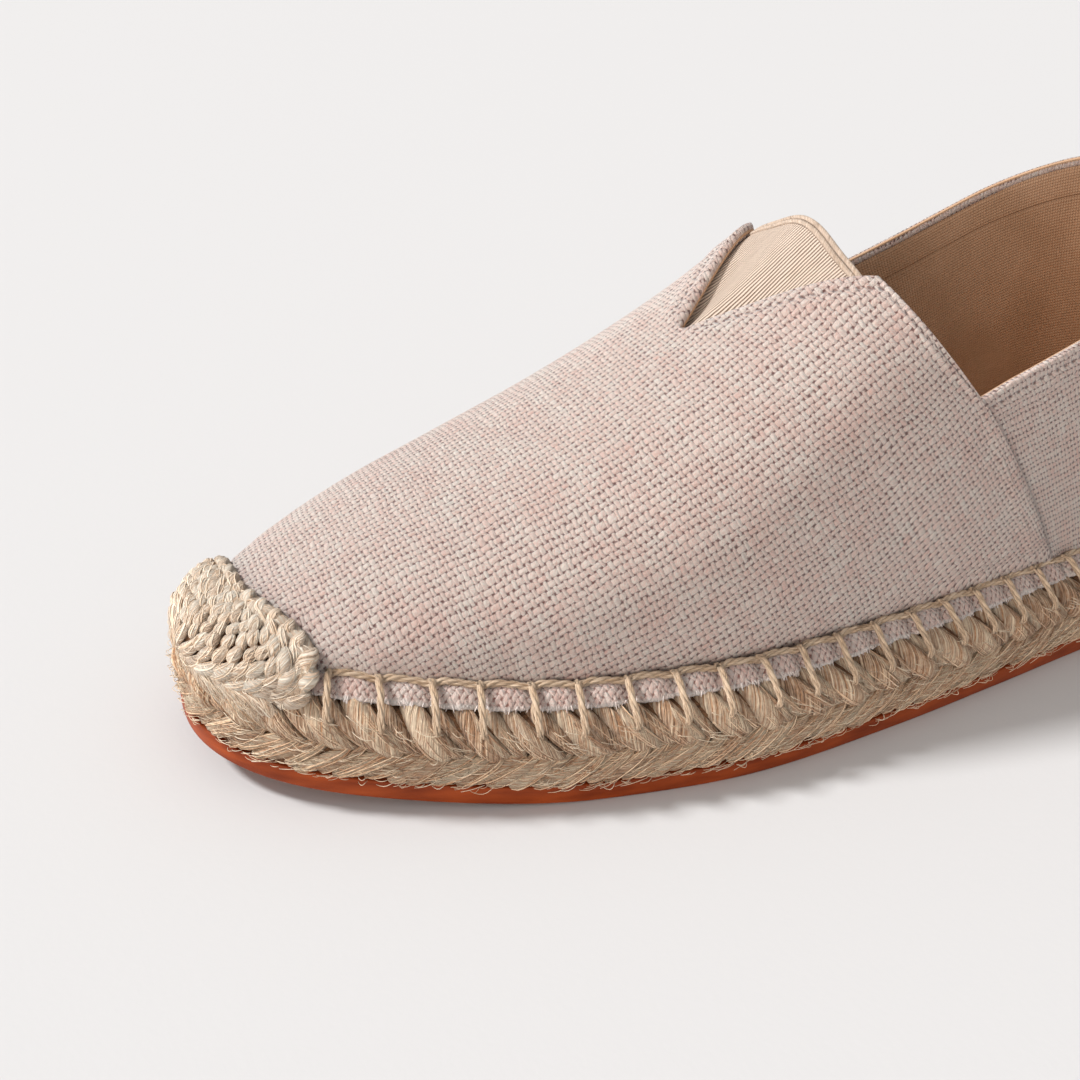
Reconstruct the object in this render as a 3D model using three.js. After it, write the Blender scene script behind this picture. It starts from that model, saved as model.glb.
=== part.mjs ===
// A woman's slip-on espadrille for the left foot, empty and standing on its sole.
// A thin rubber outsole carries a sole of braided jute. A canvas upper stands on it, with its cut
// margin turned out over the braid and caught by a running cord. A darned jute cap covers the toe,
// a ribbed elastic gore fills the V at the throat, and an insole lies inside.
// Millimetres. +Z is up, the toe points along -Y, and the outer side of the foot is +X.
// The origin is on the ground under the middle of the sole.
import * as THREE from "three";

// Sole
const SOLE_LENGTH = 250;
const BALL_WIDTH = 90;
const TOE_SPRING = 5.8;
const HEEL_SPRING = 1.2;
const RUBBER_THICKNESS = 3.8;
const RUBBER_SETBACK = 0.7; // the rubber's edge stands this far inside the braid's
const RUBBER_BEVEL = 0.5;
const BRAID_HEIGHT = 12.4; // side of the braid, from the rubber to its shoulder
const BRAID_SHOULDER = 2.2; // how far the braid's flat top stands above that shoulder
const SHOULDER_REACH = 8.8; // from the braid's edge in to its flat top
const LOBE_PITCH = 8.8; // one strand of the plait to the next, along the edge
const LOBE_DEPTH = 1.1; // groove between two strands
const INSOLE_THICKNESS = 2.5;

// Upper
const WELT_SETBACK = 7.5; // from the braid's edge in to the foot of the upper
const WELT_HEIGHT = 2.0; // foot of the upper above the braid's flat top
const INSTEP_HEIGHT = 67; // top of the instep above the foot of the upper
const UPPER_WALL = 2.0; // canvas, lining and the vamp's overlap
const VAMP_STEP = 0.6; // the vamp stands this far proud of the quarters
const MARGIN_REACH = 3.6; // turned-out canvas, across
const MARGIN_DROP = 2.6; // and down
const MARGIN_THICKNESS = 1.0;
const SIDE_HEIGHT = 42.2; // collar at the side corner, above the foot of the upper
const HEEL_HEIGHT = 67; // collar at the heel
const HEEL_LEAN = 7; // the heel's top leans forward

// Throat, measured back from the toe of the sole
const V_APEX_AT = 95;
const V_TIP_AT = 121.5;
const V_HALF_WIDTH = 20;
const CORNER_AT = 138; // where the throat meets the collar of the quarter
const SEAM_FOOT_AT = 170; // where the side seam meets the sole

// Trim
const CAP_LENGTH = 21; // toe of the sole to the cap's back edge, at the sides
const CAP_ARCH = 4.5; // the back edge lies this much nearer the toe over the ridge
const CAP_THICKNESS = 1.6;
const CAP_FRONT_INSET = 0.6; // from the braid's edge in to the cap's front
const CAP_ROUND = { span: 1.4, power: 2.2 }; // how the cap's ridge rises, by shares of its length
const GORE_THICKNESS = 1.2;
const GORE_HEM = 4.5; // elastic held under the canvas, beyond the V's edges
const GORE_SETBACK = 2.0; // the elastic's free edge stands ahead of the V's tips
const CORD_DIAMETER = 1.5;
const CLEARANCE = 0.3;
const INSOLE_CLEARANCE = 0.9;

// Outline of the last seen from above. along is a share of the length from the toe; lateral and
// medial are half-widths as shares of the ball width, before the toe and heel are rounded off.
const OUTLINE = [
  { along: 0.0, lateral: 0.408, medial: 0.4 },
  { along: 0.12, lateral: 0.415, medial: 0.44 },
  { along: 0.25, lateral: 0.473, medial: 0.484 },
  { along: 0.37, lateral: 0.512, medial: 0.475 },
  { along: 0.5, lateral: 0.486, medial: 0.42 },
  { along: 0.62, lateral: 0.441, medial: 0.382 },
  { along: 0.75, lateral: 0.39, medial: 0.368 },
  { along: 0.88, lateral: 0.375, medial: 0.366 },
  { along: 1.0, lateral: 0.362, medial: 0.36 },
];
const TOE_ROUND = { span: 0.277, power: 2.24 };
const HEEL_ROUND = { span: 0.16, power: 2.3 };

// Height of the last's ridge as a share of the instep height, and how square its sections are.
const RIDGE = [
  { along: 0.0, height: 0.12, fullness: 2.38 },
  { along: 0.1, height: 0.25, fullness: 2.4 },
  { along: 0.2, height: 0.392, fullness: 2.42 },
  { along: 0.3, height: 0.562, fullness: 2.46 },
  { along: 0.4, height: 0.778, fullness: 2.5 },
  { along: 0.48, height: 1.0, fullness: 2.55 },
  { along: 0.6, height: 1.32, fullness: 2.9 },
  { along: 0.75, height: 1.56, fullness: 3.3 },
  { along: 1.0, height: 1.64, fullness: 3.4 },
];
const TOE_BOX = { span: 0.16, power: 2.0 };

// Collar of the quarters: rise from the side corner to the heel, as a share of the difference.
// It stays lower on the outer side, under the ankle bone.
const TOPLINE = [
  { along: 0.0, lateral: 0.0, medial: 0.0 },
  { along: 0.25, lateral: 0.3, medial: 0.42 },
  { along: 0.5, lateral: 0.58, medial: 0.8 },
  { along: 0.75, lateral: 0.85, medial: 0.97 },
  { along: 1.0, lateral: 1.0, medial: 1.0 },
];

// Side of the braid from the rubber up: out is how far a row stands in from the edge, as a share
// of LOBE_DEPTH; up is a share of BRAID_HEIGHT; slant is how far the strands have run back
// towards the heel at that row, as a share of the pitch; relief says how deep the grooves are.
const BRAID_ROWS = [
  { inset: 1.3, up: 0.0, slant: 0.0, relief: 0.0 },
  { inset: 0.5, up: 0.1, slant: 0.15, relief: 0.5 },
  { inset: 0.3, up: 0.28, slant: 0.4, relief: 0.6 },
  { inset: 0.7, up: 0.46, slant: 0.7, relief: 0.6 },
  { inset: 1.7, up: 0.55, slant: 0.85, relief: 0.2 },
  { inset: 0.4, up: 0.65, slant: 0.7, relief: 1.0 },
  { inset: 0.0, up: 0.79, slant: 0.4, relief: 1.0 },
  { inset: 0.7, up: 0.92, slant: 0.15, relief: 0.9 },
  { inset: 2.1, up: 1.0, slant: 0.0, relief: 0.4 },
];

// Values that follow from the sizes above
const BRAID_FOOT_Z = RUBBER_THICKNESS + CLEARANCE;
const SHOULDER_Z = BRAID_FOOT_Z + BRAID_HEIGHT;
const BRAID_TOP_Z = SHOULDER_Z + BRAID_SHOULDER;
const WELT_Z = BRAID_TOP_Z + WELT_HEIGHT;
const UPPER_LENGTH = SOLE_LENGTH - 2 * WELT_SETBACK;
const TOE_SPRING_SPAN = 0.3 * SOLE_LENGTH;
const HEEL_SPRING_SPAN = 0.12 * SOLE_LENGTH;
const UPPER_SHARE = (fromToe) => (fromToe - WELT_SETBACK) / UPPER_LENGTH;

// Smooth curve through a table's column: cubic pieces whose slopes come from the neighbours.
function smooth(table, column, at) {
  const last = table.length - 1;
  const x = Math.min(Math.max(at, table[0].along), table[last].along);
  let k = 0;
  while (k < last - 1 && x > table[k + 1].along) k += 1;
  const slope = (i) => {
    const a = table[Math.max(i - 1, 0)];
    const b = table[Math.min(i + 1, last)];
    return (b[column] - a[column]) / (b.along - a.along);
  };
  const step = table[k + 1].along - table[k].along;
  const u = (x - table[k].along) / step;
  const u2 = u * u;
  const u3 = u2 * u;
  return (
    (2 * u3 - 3 * u2 + 1) * table[k][column] +
    (u3 - 2 * u2 + u) * step * slope(k) +
    (3 * u2 - 2 * u3) * table[k + 1][column] +
    (u3 - u2) * step * slope(k + 1)
  );
}

// Rises from 0 at an end to 1 at the span, like a squared-off quarter circle.
function roundOff(distance, { span, power }) {
  const rest = 1 - Math.min(Math.max(distance / span, 0), 1);
  return (1 - rest ** power) ** (1 / power);
}

const mix = (a, b, share) => a + (b - a) * share;

function ease(share) {
  const u = Math.min(Math.max(share, 0), 1);
  return u * u * (3 - 2 * u);
}

// Half-width of the last on one side, as a share of the ball width.
function halfShare(side, along) {
  const column = side > 0 ? "lateral" : "medial";
  const rounded = roundOff(along, TOE_ROUND) * roundOff(1 - along, HEEL_ROUND);
  return smooth(OUTLINE, column, along) * rounded;
}

// The outline's widest half-widths, which put the origin midway between the two sides.
function widest(side) {
  let most = 0;
  for (let k = 0; k <= 200; k += 1) most = Math.max(most, halfShare(side, k / 200));
  return most * BALL_WIDTH;
}
const AXIS_X = (widest(-1) - widest(1)) / 2;

// How far the sole has left the ground at y.
function lift(y) {
  const toe = Math.max(0, 1 - (y + SOLE_LENGTH / 2) / TOE_SPRING_SPAN);
  const heel = Math.max(0, 1 - (SOLE_LENGTH / 2 - y) / HEEL_SPRING_SPAN);
  return TOE_SPRING * toe * toe + HEEL_SPRING * heel * heel;
}

// Point of the outline moved inwards, at height z above the sole's underside.
function outlinePoint(side, along, inset, z) {
  const y = inset + along * (SOLE_LENGTH - 2 * inset) - SOLE_LENGTH / 2;
  const x = side * (BALL_WIDTH - 2 * inset) * halfShare(side, along);
  return new THREE.Vector3(AXIS_X + x, y, z + lift(y));
}

const fullness = (along) => smooth(RIDGE, "fullness", along);

function ridgeHeight(along, inset) {
  const full = smooth(RIDGE, "height", along) * INSTEP_HEIGHT - inset;
  return full * roundOff(along, TOE_BOX);
}

// Point of the last, inset from the upper's outside. climb runs from 0 at the sole to 1 at the
// ridge. Each section is half a superellipse, and the back of the heel leans forward.
function lastPoint(side, along, climb, inset) {
  const foot = outlinePoint(side, along, WELT_SETBACK + inset, WELT_Z);
  const angle = (climb * Math.PI) / 2;
  const power = 2 / fullness(along);
  const across = Math.max(Math.cos(angle), 0) ** power;
  const up = Math.sin(angle) ** power;
  const rise = ridgeHeight(along, inset) * up;
  const lean = HEEL_LEAN * ease((along - 0.7) / 0.3) * (rise / HEEL_HEIGHT) ** 2;
  return new THREE.Vector3(
    AXIS_X + (foot.x - AXIS_X) * across,
    foot.y - lean,
    foot.z + rise,
  );
}

// The climb at which the last reaches a height above the upper's foot.
function climbAtHeight(along, height) {
  const share = Math.min(height / ridgeHeight(along, 0), 1);
  return (Math.asin(share ** (fullness(along) / 2)) * 2) / Math.PI;
}

// The climb at which the last is a given distance from its middle.
function climbAtHalfWidth(side, along, halfWidth) {
  const half = Math.abs(outlinePoint(side, along, WELT_SETBACK, 0).x - AXIS_X);
  const share = Math.min(halfWidth / half, 1);
  return (Math.acos(share ** (fullness(along) / 2)) * 2) / Math.PI;
}

function vHalfWidth(fromToe) {
  return V_HALF_WIDTH * ((fromToe - V_APEX_AT) / (V_TIP_AT - V_APEX_AT));
}

function toplineHeight(side, share) {
  const column = side > 0 ? "lateral" : "medial";
  return mix(SIDE_HEIGHT, HEEL_HEIGHT, smooth(TOPLINE, column, share));
}

// A closed surface put together from rows of points. Points that fall together are one vertex,
// and triangles that collapse are left out, so rows may meet at a pole or along a seam.
class Skin {
  constructor() {
    this.known = new Map();
    this.positions = [];
    this.triangles = [];
  }

  vertex(p) {
    const key = [p.x, p.y, p.z].map((v) => Math.round(v * 2000) + 0).join(",");
    if (!this.known.has(key)) {
      this.known.set(key, this.positions.length / 3);
      this.positions.push(p.x, p.y, p.z);
    }
    return this.known.get(key);
  }

  triangle(a, b, c) {
    if (a !== b && b !== c && c !== a) this.triangles.push(a, b, c);
  }

  // Quads between two rows of points. closed joins the rows' ends.
  band(rowA, rowB, closed = false) {
    const steps = closed ? rowA.length : rowA.length - 1;
    for (let k = 0; k < steps; k += 1) {
      const next = (k + 1) % rowA.length;
      const [a, b, c, d] = [rowA[k], rowA[next], rowB[next], rowB[k]].map((p) => this.vertex(p));
      this.triangle(a, b, c);
      this.triangle(a, c, d);
    }
  }

  bands(rows, closed = false) {
    for (let k = 1; k < rows.length; k += 1) this.band(rows[k - 1], rows[k], closed);
  }

  // Ladder across a closed row whose point k faces point n - k.
  lid(row, flip) {
    const n = row.length;
    const left = [];
    const right = [];
    for (let k = 0; k <= n / 2; k += 1) {
      left.push(row[k]);
      right.push(row[(n - k) % n]);
    }
    if (flip) this.band(right, left);
    else this.band(left, right);
  }

  geometry() {
    const made = new THREE.BufferGeometry();
    made.setAttribute("position", new THREE.Float32BufferAttribute(this.positions, 3));
    made.setIndex(this.volume() < 0 ? this.triangles.slice().reverse() : this.triangles);
    made.computeVertexNormals();
    return made;
  }

  volume() {
    const p = (i) => new THREE.Vector3().fromArray(this.positions, i * 3);
    let six = 0;
    for (let k = 0; k < this.triangles.length; k += 3) {
      const [a, b, c] = this.triangles.slice(k, k + 3).map(p);
      six += a.dot(b.cross(c));
    }
    return six / 6;
  }
}

// The outline walked once round, toe to heel on the lateral side and back on the medial one,
// by equal lengths. place(share) gives the side and the share of the length.
function walkOutline() {
  const steps = 400;
  const marks = [];
  for (const side of [1, -1]) {
    for (let k = 0; k <= steps; k += 1) {
      const along = (1 - Math.cos((k / steps) * Math.PI)) / 2;
      marks.push({ side, along: side > 0 ? along : 1 - along });
    }
  }
  let length = 0;
  let previous = null;
  for (const mark of marks) {
    const p = outlinePoint(mark.side, mark.along, 0, 0);
    if (previous) length += Math.hypot(p.x - previous.x, p.y - previous.y);
    mark.run = length;
    previous = p;
  }
  const heelRun = marks[steps].run;
  const place = (share) => {
    const run = (((share % 1) + 1) % 1) * length;
    let k = 1;
    while (k < marks.length - 1 && marks[k].run < run) k += 1;
    const [a, b] = [marks[k - 1], marks[k]];
    if (a.side !== b.side) return { side: b.side, along: 1 };
    const between = b.run > a.run ? (run - a.run) / (b.run - a.run) : 0;
    return { side: a.side, along: mix(a.along, b.along, between) };
  };
  return { length, heelShare: heelRun / length, place };
}
const WALK = walkOutline();

// A share of the walk that puts column 0 at the toe and the middle column at the heel.
function columnShare(column, columns) {
  const half = columns / 2;
  return column <= half
    ? mix(0, WALK.heelShare, column / half)
    : mix(WALK.heelShare, 1, (column - half) / half);
}

function ring(columns, inset, z) {
  const row = [];
  for (let k = 0; k < columns; k += 1) {
    const { side, along } = WALK.place(columnShare(k, columns));
    row.push(outlinePoint(side, along, inset, z));
  }
  return row;
}

// Thin rubber sole with a bevelled lower edge.
function outsole() {
  const columns = 96;
  const rows = [
    ring(columns, RUBBER_SETBACK + RUBBER_BEVEL, 0),
    ring(columns, RUBBER_SETBACK, RUBBER_BEVEL),
    ring(columns, RUBBER_SETBACK, RUBBER_THICKNESS),
  ];
  const skin = new Skin();
  skin.bands(rows, true);
  skin.lid(rows[0], true);
  skin.lid(rows[2], false);
  return skin.geometry();
}

// One row of the braid's side. Every second column is a groove between two strands, and the
// columns lean with the strands, so that the grooves make chevrons that point along the walk.
function braidRow({ inset, up, slant, relief }, lobes) {
  const columns = 2 * lobes;
  const row = [];
  for (let k = 0; k < columns; k += 1) {
    const share = columnShare(k, columns) + slant / lobes;
    const { side, along } = WALK.place(share);
    const groove = k % 2 ? relief * LOBE_DEPTH : 0;
    row.push(outlinePoint(side, along, inset * LOBE_DEPTH + groove, BRAID_FOOT_Z + up * BRAID_HEIGHT));
  }
  return row;
}

// The jute sole: one plait stood on edge, with a sloping shoulder under the canvas margin.
function midsole() {
  const lobes = Math.round(WALK.length / LOBE_PITCH);
  const rows = BRAID_ROWS.map((row) => braidRow(row, lobes));
  const marginInset = WELT_SETBACK - MARGIN_REACH;
  rows.push(ring(2 * lobes, marginInset, SHOULDER_Z));
  rows.push(ring(2 * lobes, SHOULDER_REACH, BRAID_TOP_Z));
  const skin = new Skin();
  skin.bands(rows, true);
  skin.lid(rows[0], true);
  skin.lid(rows[rows.length - 1], false);
  return skin.geometry();
}

function insole() {
  const columns = 72;
  const inset = WELT_SETBACK + UPPER_WALL + INSOLE_CLEARANCE;
  const foot = BRAID_TOP_Z + CLEARANCE;
  const rows = [ring(columns, inset, foot), ring(columns, inset, foot + INSOLE_THICKNESS)];
  const skin = new Skin();
  skin.bands(rows, true);
  skin.lid(rows[0], true);
  skin.lid(rows[1], false);
  return skin.geometry();
}

// Stations of the upper on one side, from the toe to the heel. Each has the share of the length
// where it stands on the sole, the share and climb where it ends above, and how far its outside
// lies inside the vamp's. open says that it ends in a free edge.
function upperStations(side) {
  const apex = UPPER_SHARE(V_APEX_AT);
  const tip = UPPER_SHARE(V_TIP_AT);
  const corner = UPPER_SHARE(CORNER_AT);
  const seamFoot = UPPER_SHARE(SEAM_FOOT_AT);
  const apexFoot = apex + 0.05 * (seamFoot - apex);
  const tipFoot = apex + 0.45 * (seamFoot - apex);
  const tipClimb = climbAtHalfWidth(side, tip, V_HALF_WIDTH);
  const cornerClimb = climbAtHeight(corner, SIDE_HEIGHT);
  const stations = [];
  const front = 17;
  for (let k = 0; k <= front; k += 1) {
    const share = (k / front) ** 1.7;
    const open = k === front;
    stations.push({ foot: apexFoot * share, top: apex * share, climb: 1, set: 0, open });
  }
  const notch = 5;
  for (let k = 1; k <= notch; k += 1) {
    const share = k / notch;
    const top = mix(apex, tip, share);
    const climb = climbAtHalfWidth(side, top, V_HALF_WIDTH * share);
    stations.push({ foot: mix(apexFoot, tipFoot, share), top, climb, set: 0, open: true });
  }
  const throat = 6;
  for (let k = 1; k <= throat; k += 1) {
    const share = k / throat;
    const top = mix(tip, corner, share);
    const tipZ = ridgeHeight(tip, 0) * Math.sin((tipClimb * Math.PI) / 2) ** (2 / fullness(tip));
    const climb = k === throat ? cornerClimb : climbAtHeight(top, mix(tipZ, SIDE_HEIGHT, share));
    stations.push({ foot: mix(tipFoot, seamFoot, share), top, climb, set: 0, open: true });
  }
  const quarter = 18;
  const step = VAMP_STEP / UPPER_LENGTH;
  for (let k = 0; k <= quarter; k += 1) {
    const share = 1 - (1 - k / quarter) ** 1.6;
    const top = mix(corner + step, 1, share);
    const climb = climbAtHeight(top, toplineHeight(side, share));
    stations.push({ foot: mix(seamFoot + step, 1, share), top, climb, set: VAMP_STEP, open: true });
  }
  return stations;
}

// One station's points from the canvas margin's tip, up the outside to the edge.
function outsideOf(side, station, steps) {
  const { foot, top, climb, set } = station;
  const marginInset = WELT_SETBACK - MARGIN_REACH;
  const points = [outlinePoint(side, foot, marginInset, WELT_Z - MARGIN_DROP)];
  for (let k = 0; k <= steps; k += 1) {
    const share = k / steps;
    points.push(lastPoint(side, mix(foot, top, share), climb * share, set));
  }
  return points;
}

// And from the edge down the inside, then out under the margin.
function insideOf(side, station, steps) {
  const { foot, top, climb } = station;
  const points = [];
  for (let k = steps; k >= 0; k -= 1) {
    const share = k / steps;
    points.push(lastPoint(side, mix(foot, top, share), climb * share, UPPER_WALL));
  }
  const under = BRAID_TOP_Z + CLEARANCE;
  const marginInset = WELT_SETBACK - MARGIN_REACH;
  points.push(outlinePoint(side, foot, WELT_SETBACK + UPPER_WALL, under));
  points.push(outlinePoint(side, foot, WELT_SETBACK + 0.3 * UPPER_WALL, under));
  points.push(
    outlinePoint(side, foot, marginInset + 0.4, WELT_Z - MARGIN_DROP - MARGIN_THICKNESS),
  );
  return points;
}

// Canvas upper: one hollow wall, open at the V, the collar and underneath.
function upper() {
  const skin = new Skin();
  for (const side of [1, -1]) {
    const stations = upperStations(side);
    const outside = stations.map((station) => outsideOf(side, station, 12));
    const inside = stations.map((station) => insideOf(side, station, 11));
    for (let k = 1; k < stations.length; k += 1) {
      const bands = [
        [outside[k - 1], outside[k]],
        [inside[k - 1], inside[k]],
        [
          [inside[k - 1].at(-1), outside[k - 1][0]],
          [inside[k].at(-1), outside[k][0]],
        ],
      ];
      if (stations[k - 1].open) {
        bands.push([
          [outside[k - 1].at(-1), inside[k - 1][0]],
          [outside[k].at(-1), inside[k][0]],
        ]);
      }
      for (const [a, b] of bands) {
        if (side > 0) skin.band(a, b);
        else skin.band(b, a);
      }
    }
  }
  return skin.geometry();
}

// Ribbed elastic under the V, held by a hem under the canvas on both sides and at the apex.
function gore() {
  const outer = UPPER_WALL + 1.5 * CLEARANCE;
  const rowCount = 9;
  const columnCount = 12;
  const front = V_APEX_AT - GORE_HEM;
  const back = V_TIP_AT - GORE_SETBACK;
  const grid = (inset) => {
    const rows = [];
    for (let r = 0; r <= rowCount; r += 1) {
      const fromToe = mix(front, back, r / rowCount);
      const along = UPPER_SHARE(fromToe);
      const reach = Math.max(vHalfWidth(fromToe), 0) + GORE_HEM;
      const row = [];
      for (let c = 0; c <= columnCount; c += 1) {
        const across = (2 * c) / columnCount - 1;
        const side = across < 0 ? -1 : 1;
        const climb = climbAtHalfWidth(side, along, reach * Math.abs(across));
        row.push(lastPoint(side, along, climb, inset));
      }
      rows.push(row);
    }
    return rows;
  };
  const top = grid(outer);
  const under = grid(outer + GORE_THICKNESS);
  const skin = new Skin();
  skin.bands(top);
  skin.bands(under.map((row) => row.slice().reverse()));
  skin.band(under[0], top[0]);
  skin.band(top[rowCount], under[rowCount]);
  skin.band(top.map((row) => row[0]), under.map((row) => row[0]));
  skin.band(under.map((row) => row[columnCount]), top.map((row) => row[columnCount]));
  return skin.geometry();
}

// Toe of the sole to the cap's back edge.
function capLength(climb) {
  return CAP_LENGTH - CAP_ARCH * ease(climb);
}

// Point of the cap's outside, at a share of its length. Its foot runs from the braid's edge at
// the toe to just outside the margin at the back. Its ridge ends one thickness above the upper's.
function capPoint(side, share, climb) {
  const backInset = WELT_SETBACK - MARGIN_REACH - CLEARANCE - CAP_THICKNESS;
  const inset = mix(CAP_FRONT_INSET, backInset, ease(share));
  const fromToe = mix(CAP_FRONT_INSET, capLength(climb), share);
  const along = (fromToe - inset) / (SOLE_LENGTH - 2 * inset);
  const foot = outlinePoint(side, along, inset, SHOULDER_Z + CLEARANCE);
  const upperRidge = WELT_Z + ridgeHeight(UPPER_SHARE(capLength(1)), 0);
  const backRidge = upperRidge + CLEARANCE + CAP_THICKNESS - SHOULDER_Z - CLEARANCE;
  const ridge = (backRidge * roundOff(share, CAP_ROUND)) / roundOff(1, CAP_ROUND);
  const angle = (climb * Math.PI) / 2;
  const power = 2 / fullness(0);
  const across = Math.max(Math.cos(angle), 0) ** power;
  const x = AXIS_X + (foot.x - AXIS_X) * across;
  return new THREE.Vector3(x, foot.y, foot.z + ridge * Math.sin(angle) ** power);
}

// Darned jute cap: a shell over the toe that comes down over the margin to the braid's shoulder.
function toeCap() {
  const stationCount = 11;
  const climbCount = 8;
  const inner = [];
  const outer = [];
  const skirtInset = WELT_SETBACK - MARGIN_REACH - CLEARANCE;
  for (let k = -stationCount; k <= stationCount; k += 1) {
    const side = k < 0 ? 1 : -1;
    const share = (Math.abs(k) / stationCount) ** 1.7;
    const along = UPPER_SHARE(CAP_LENGTH) * share;
    const inside = [
      outlinePoint(side, along, skirtInset, SHOULDER_Z + CLEARANCE),
      outlinePoint(side, along, skirtInset, WELT_Z - MARGIN_DROP + CLEARANCE),
    ];
    for (let c = 0; c <= climbCount; c += 1) {
      const climb = c / climbCount;
      const along = UPPER_SHARE(capLength(climb)) * share;
      inside.push(lastPoint(side, along, climb, -CLEARANCE));
    }
    const outside = inside.map((_, c) => capPoint(side, share, c / (inside.length - 1)));
    inner.push(inside);
    outer.push(outside);
  }
  const last = inner.length - 1;
  const skin = new Skin();
  skin.bands(outer);
  skin.bands(inner.map((row) => row.slice().reverse()));
  skin.band(outer.map((row) => row[0]), inner.map((row) => row[0]));
  skin.band(inner[0], outer[0]);
  skin.band(outer[last], inner[last]);
  return skin.geometry();
}

// Running cord of the blanket stitch, lying in the angle between the upper and its margin, from
// one side of the cap round the heel to the other.
function stitchCord() {
  const points = [];
  const perSide = 40;
  const radius = CORD_DIAMETER / 2;
  const start = UPPER_SHARE(CAP_LENGTH + 2 * CORD_DIAMETER);
  const inset = WELT_SETBACK - CLEARANCE - radius;
  const marginSlope = MARGIN_DROP / MARGIN_REACH;
  const marginZ = WELT_Z - (WELT_SETBACK - inset) * marginSlope;
  const cordZ = marginZ + (radius + CLEARANCE) * Math.hypot(1, marginSlope);
  for (const side of [1, -1]) {
    for (let k = 0; k <= perSide; k += 1) {
      const share = side > 0 ? k / perSide : 1 - k / perSide;
      const along = mix(start, 1, 1 - (1 - share) ** 1.5);
      if (side < 0 && k === 0) continue;
      points.push(outlinePoint(side, along, inset, cordZ));
    }
  }
  const section = new THREE.Shape();
  section.absarc(0, 0, radius, 0, 2 * Math.PI);
  return new THREE.ExtrudeGeometry(section, {
    steps: 76,
    curveSegments: 3,
    extrudePath: new THREE.CatmullRomCurve3(points),
    bevelEnabled: false,
  });
}

const PIECES = [
  { name: "outsole", make: outsole, color: 0xb96f48, roughness: 0.45 },
  { name: "midsole", make: midsole, color: 0xc9ad86, roughness: 0.95 },
  { name: "insole", make: insole, color: 0xb89b7c, roughness: 0.9 },
  { name: "upper", make: upper, color: 0xd3bdb2, roughness: 0.9 },
  { name: "gore", make: gore, color: 0xd2bfa9, roughness: 0.8 },
  { name: "toe_cap", make: toeCap, color: 0xd6c1a2, roughness: 0.95 },
  { name: "stitch_cord", make: stitchCord, color: 0xcbb592, roughness: 0.85 },
];

const espadrille = new THREE.Group();
for (const { name, make, color, roughness } of PIECES) {
  const material = new THREE.MeshStandardMaterial({ color, roughness, metalness: 0 });
  const mesh = new THREE.Mesh(make(), material);
  mesh.name = name;
  espadrille.add(mesh);
}

export default espadrille;
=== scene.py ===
"""Looks of a left espadrille: canvas upper, jute braid, darned toe cap, elastic gore and rubber sole.

Lengths are millimetres until a mesh is made. The toe points along -Y, +X is the outer side, +Z is up.
"""

import logging
import math
from collections import Counter
from dataclasses import dataclass, field
from enum import Enum

import bpy
import numpy as np
from mathutils import Matrix, Vector


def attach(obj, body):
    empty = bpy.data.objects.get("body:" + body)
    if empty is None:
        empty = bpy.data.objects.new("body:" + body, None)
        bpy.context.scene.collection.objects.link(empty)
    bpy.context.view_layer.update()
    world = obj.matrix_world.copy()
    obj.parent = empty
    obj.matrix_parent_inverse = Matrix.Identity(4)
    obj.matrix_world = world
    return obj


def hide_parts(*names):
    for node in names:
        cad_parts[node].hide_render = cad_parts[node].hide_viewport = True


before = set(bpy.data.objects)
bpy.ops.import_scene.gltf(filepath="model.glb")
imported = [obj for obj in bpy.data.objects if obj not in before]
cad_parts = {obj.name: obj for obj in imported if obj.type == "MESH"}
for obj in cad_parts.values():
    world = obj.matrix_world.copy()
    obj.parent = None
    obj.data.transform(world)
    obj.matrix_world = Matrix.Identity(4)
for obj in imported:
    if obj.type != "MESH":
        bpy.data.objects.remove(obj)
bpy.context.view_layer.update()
MM = 0.001
SEED = 7
STITCH_PITCH = 8.8  # from one bar of the blanket stitch to the next
STITCH_START = 19.0  # from the toe to the first bar on each side
FAR = 40.0  # stands for no edge nearby
FINE = (0.0, 1.0, 0.02)  # twist, streaks and depth in the finish of single fibres
LOG = logging.getLogger("espadrille")
Array = np.ndarray
Colour = tuple[int, int, int]


class Side(Enum):
    """Side of the foot, as the sign of its X."""

    LATERAL = 1.0
    MEDIAL = -1.0


@dataclass(frozen=True)
class Curve:
    """Smooth curve through given knots, by cubic pieces whose slopes come from the neighbours."""

    knots: tuple[float, ...]
    values: tuple[float, ...]

    def __call__(self, at: Array) -> Array:
        """Value at each position.

        Args:
            at: Positions, held inside the knots' range.

        Returns:
            Interpolated values of the same shape.
        """
        x = np.asarray(self.knots)
        y = np.asarray(self.values)
        low = np.maximum(np.arange(len(x)) - 1, 0)
        high = np.minimum(np.arange(len(x)) + 1, len(x) - 1)
        slope = (y[high] - y[low]) / (x[high] - x[low])
        t = np.clip(np.asarray(at, float), x[0], x[-1])
        k = np.clip(np.searchsorted(x, t, side="right") - 1, 0, len(x) - 2)
        step = x[k + 1] - x[k]
        u = (t - x[k]) / step
        return (
            (2 * u**3 - 3 * u**2 + 1) * y[k]
            + (u**3 - 2 * u**2 + u) * step * slope[k]
            + (3 * u**2 - 2 * u**3) * y[k + 1]
            + (u**3 - u**2) * step * slope[k + 1]
        )


def ease(share: Array) -> Array:
    """Smooth step from 0 to 1: 3u^2 - 2u^3 of the clipped share."""
    u = np.clip(share, 0, 1)
    return u * u * (3 - 2 * u)


def mix(a: Array, b: Array, share: Array) -> Array:
    """Straight blend from a to b."""
    return a + (b - a) * share


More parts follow.
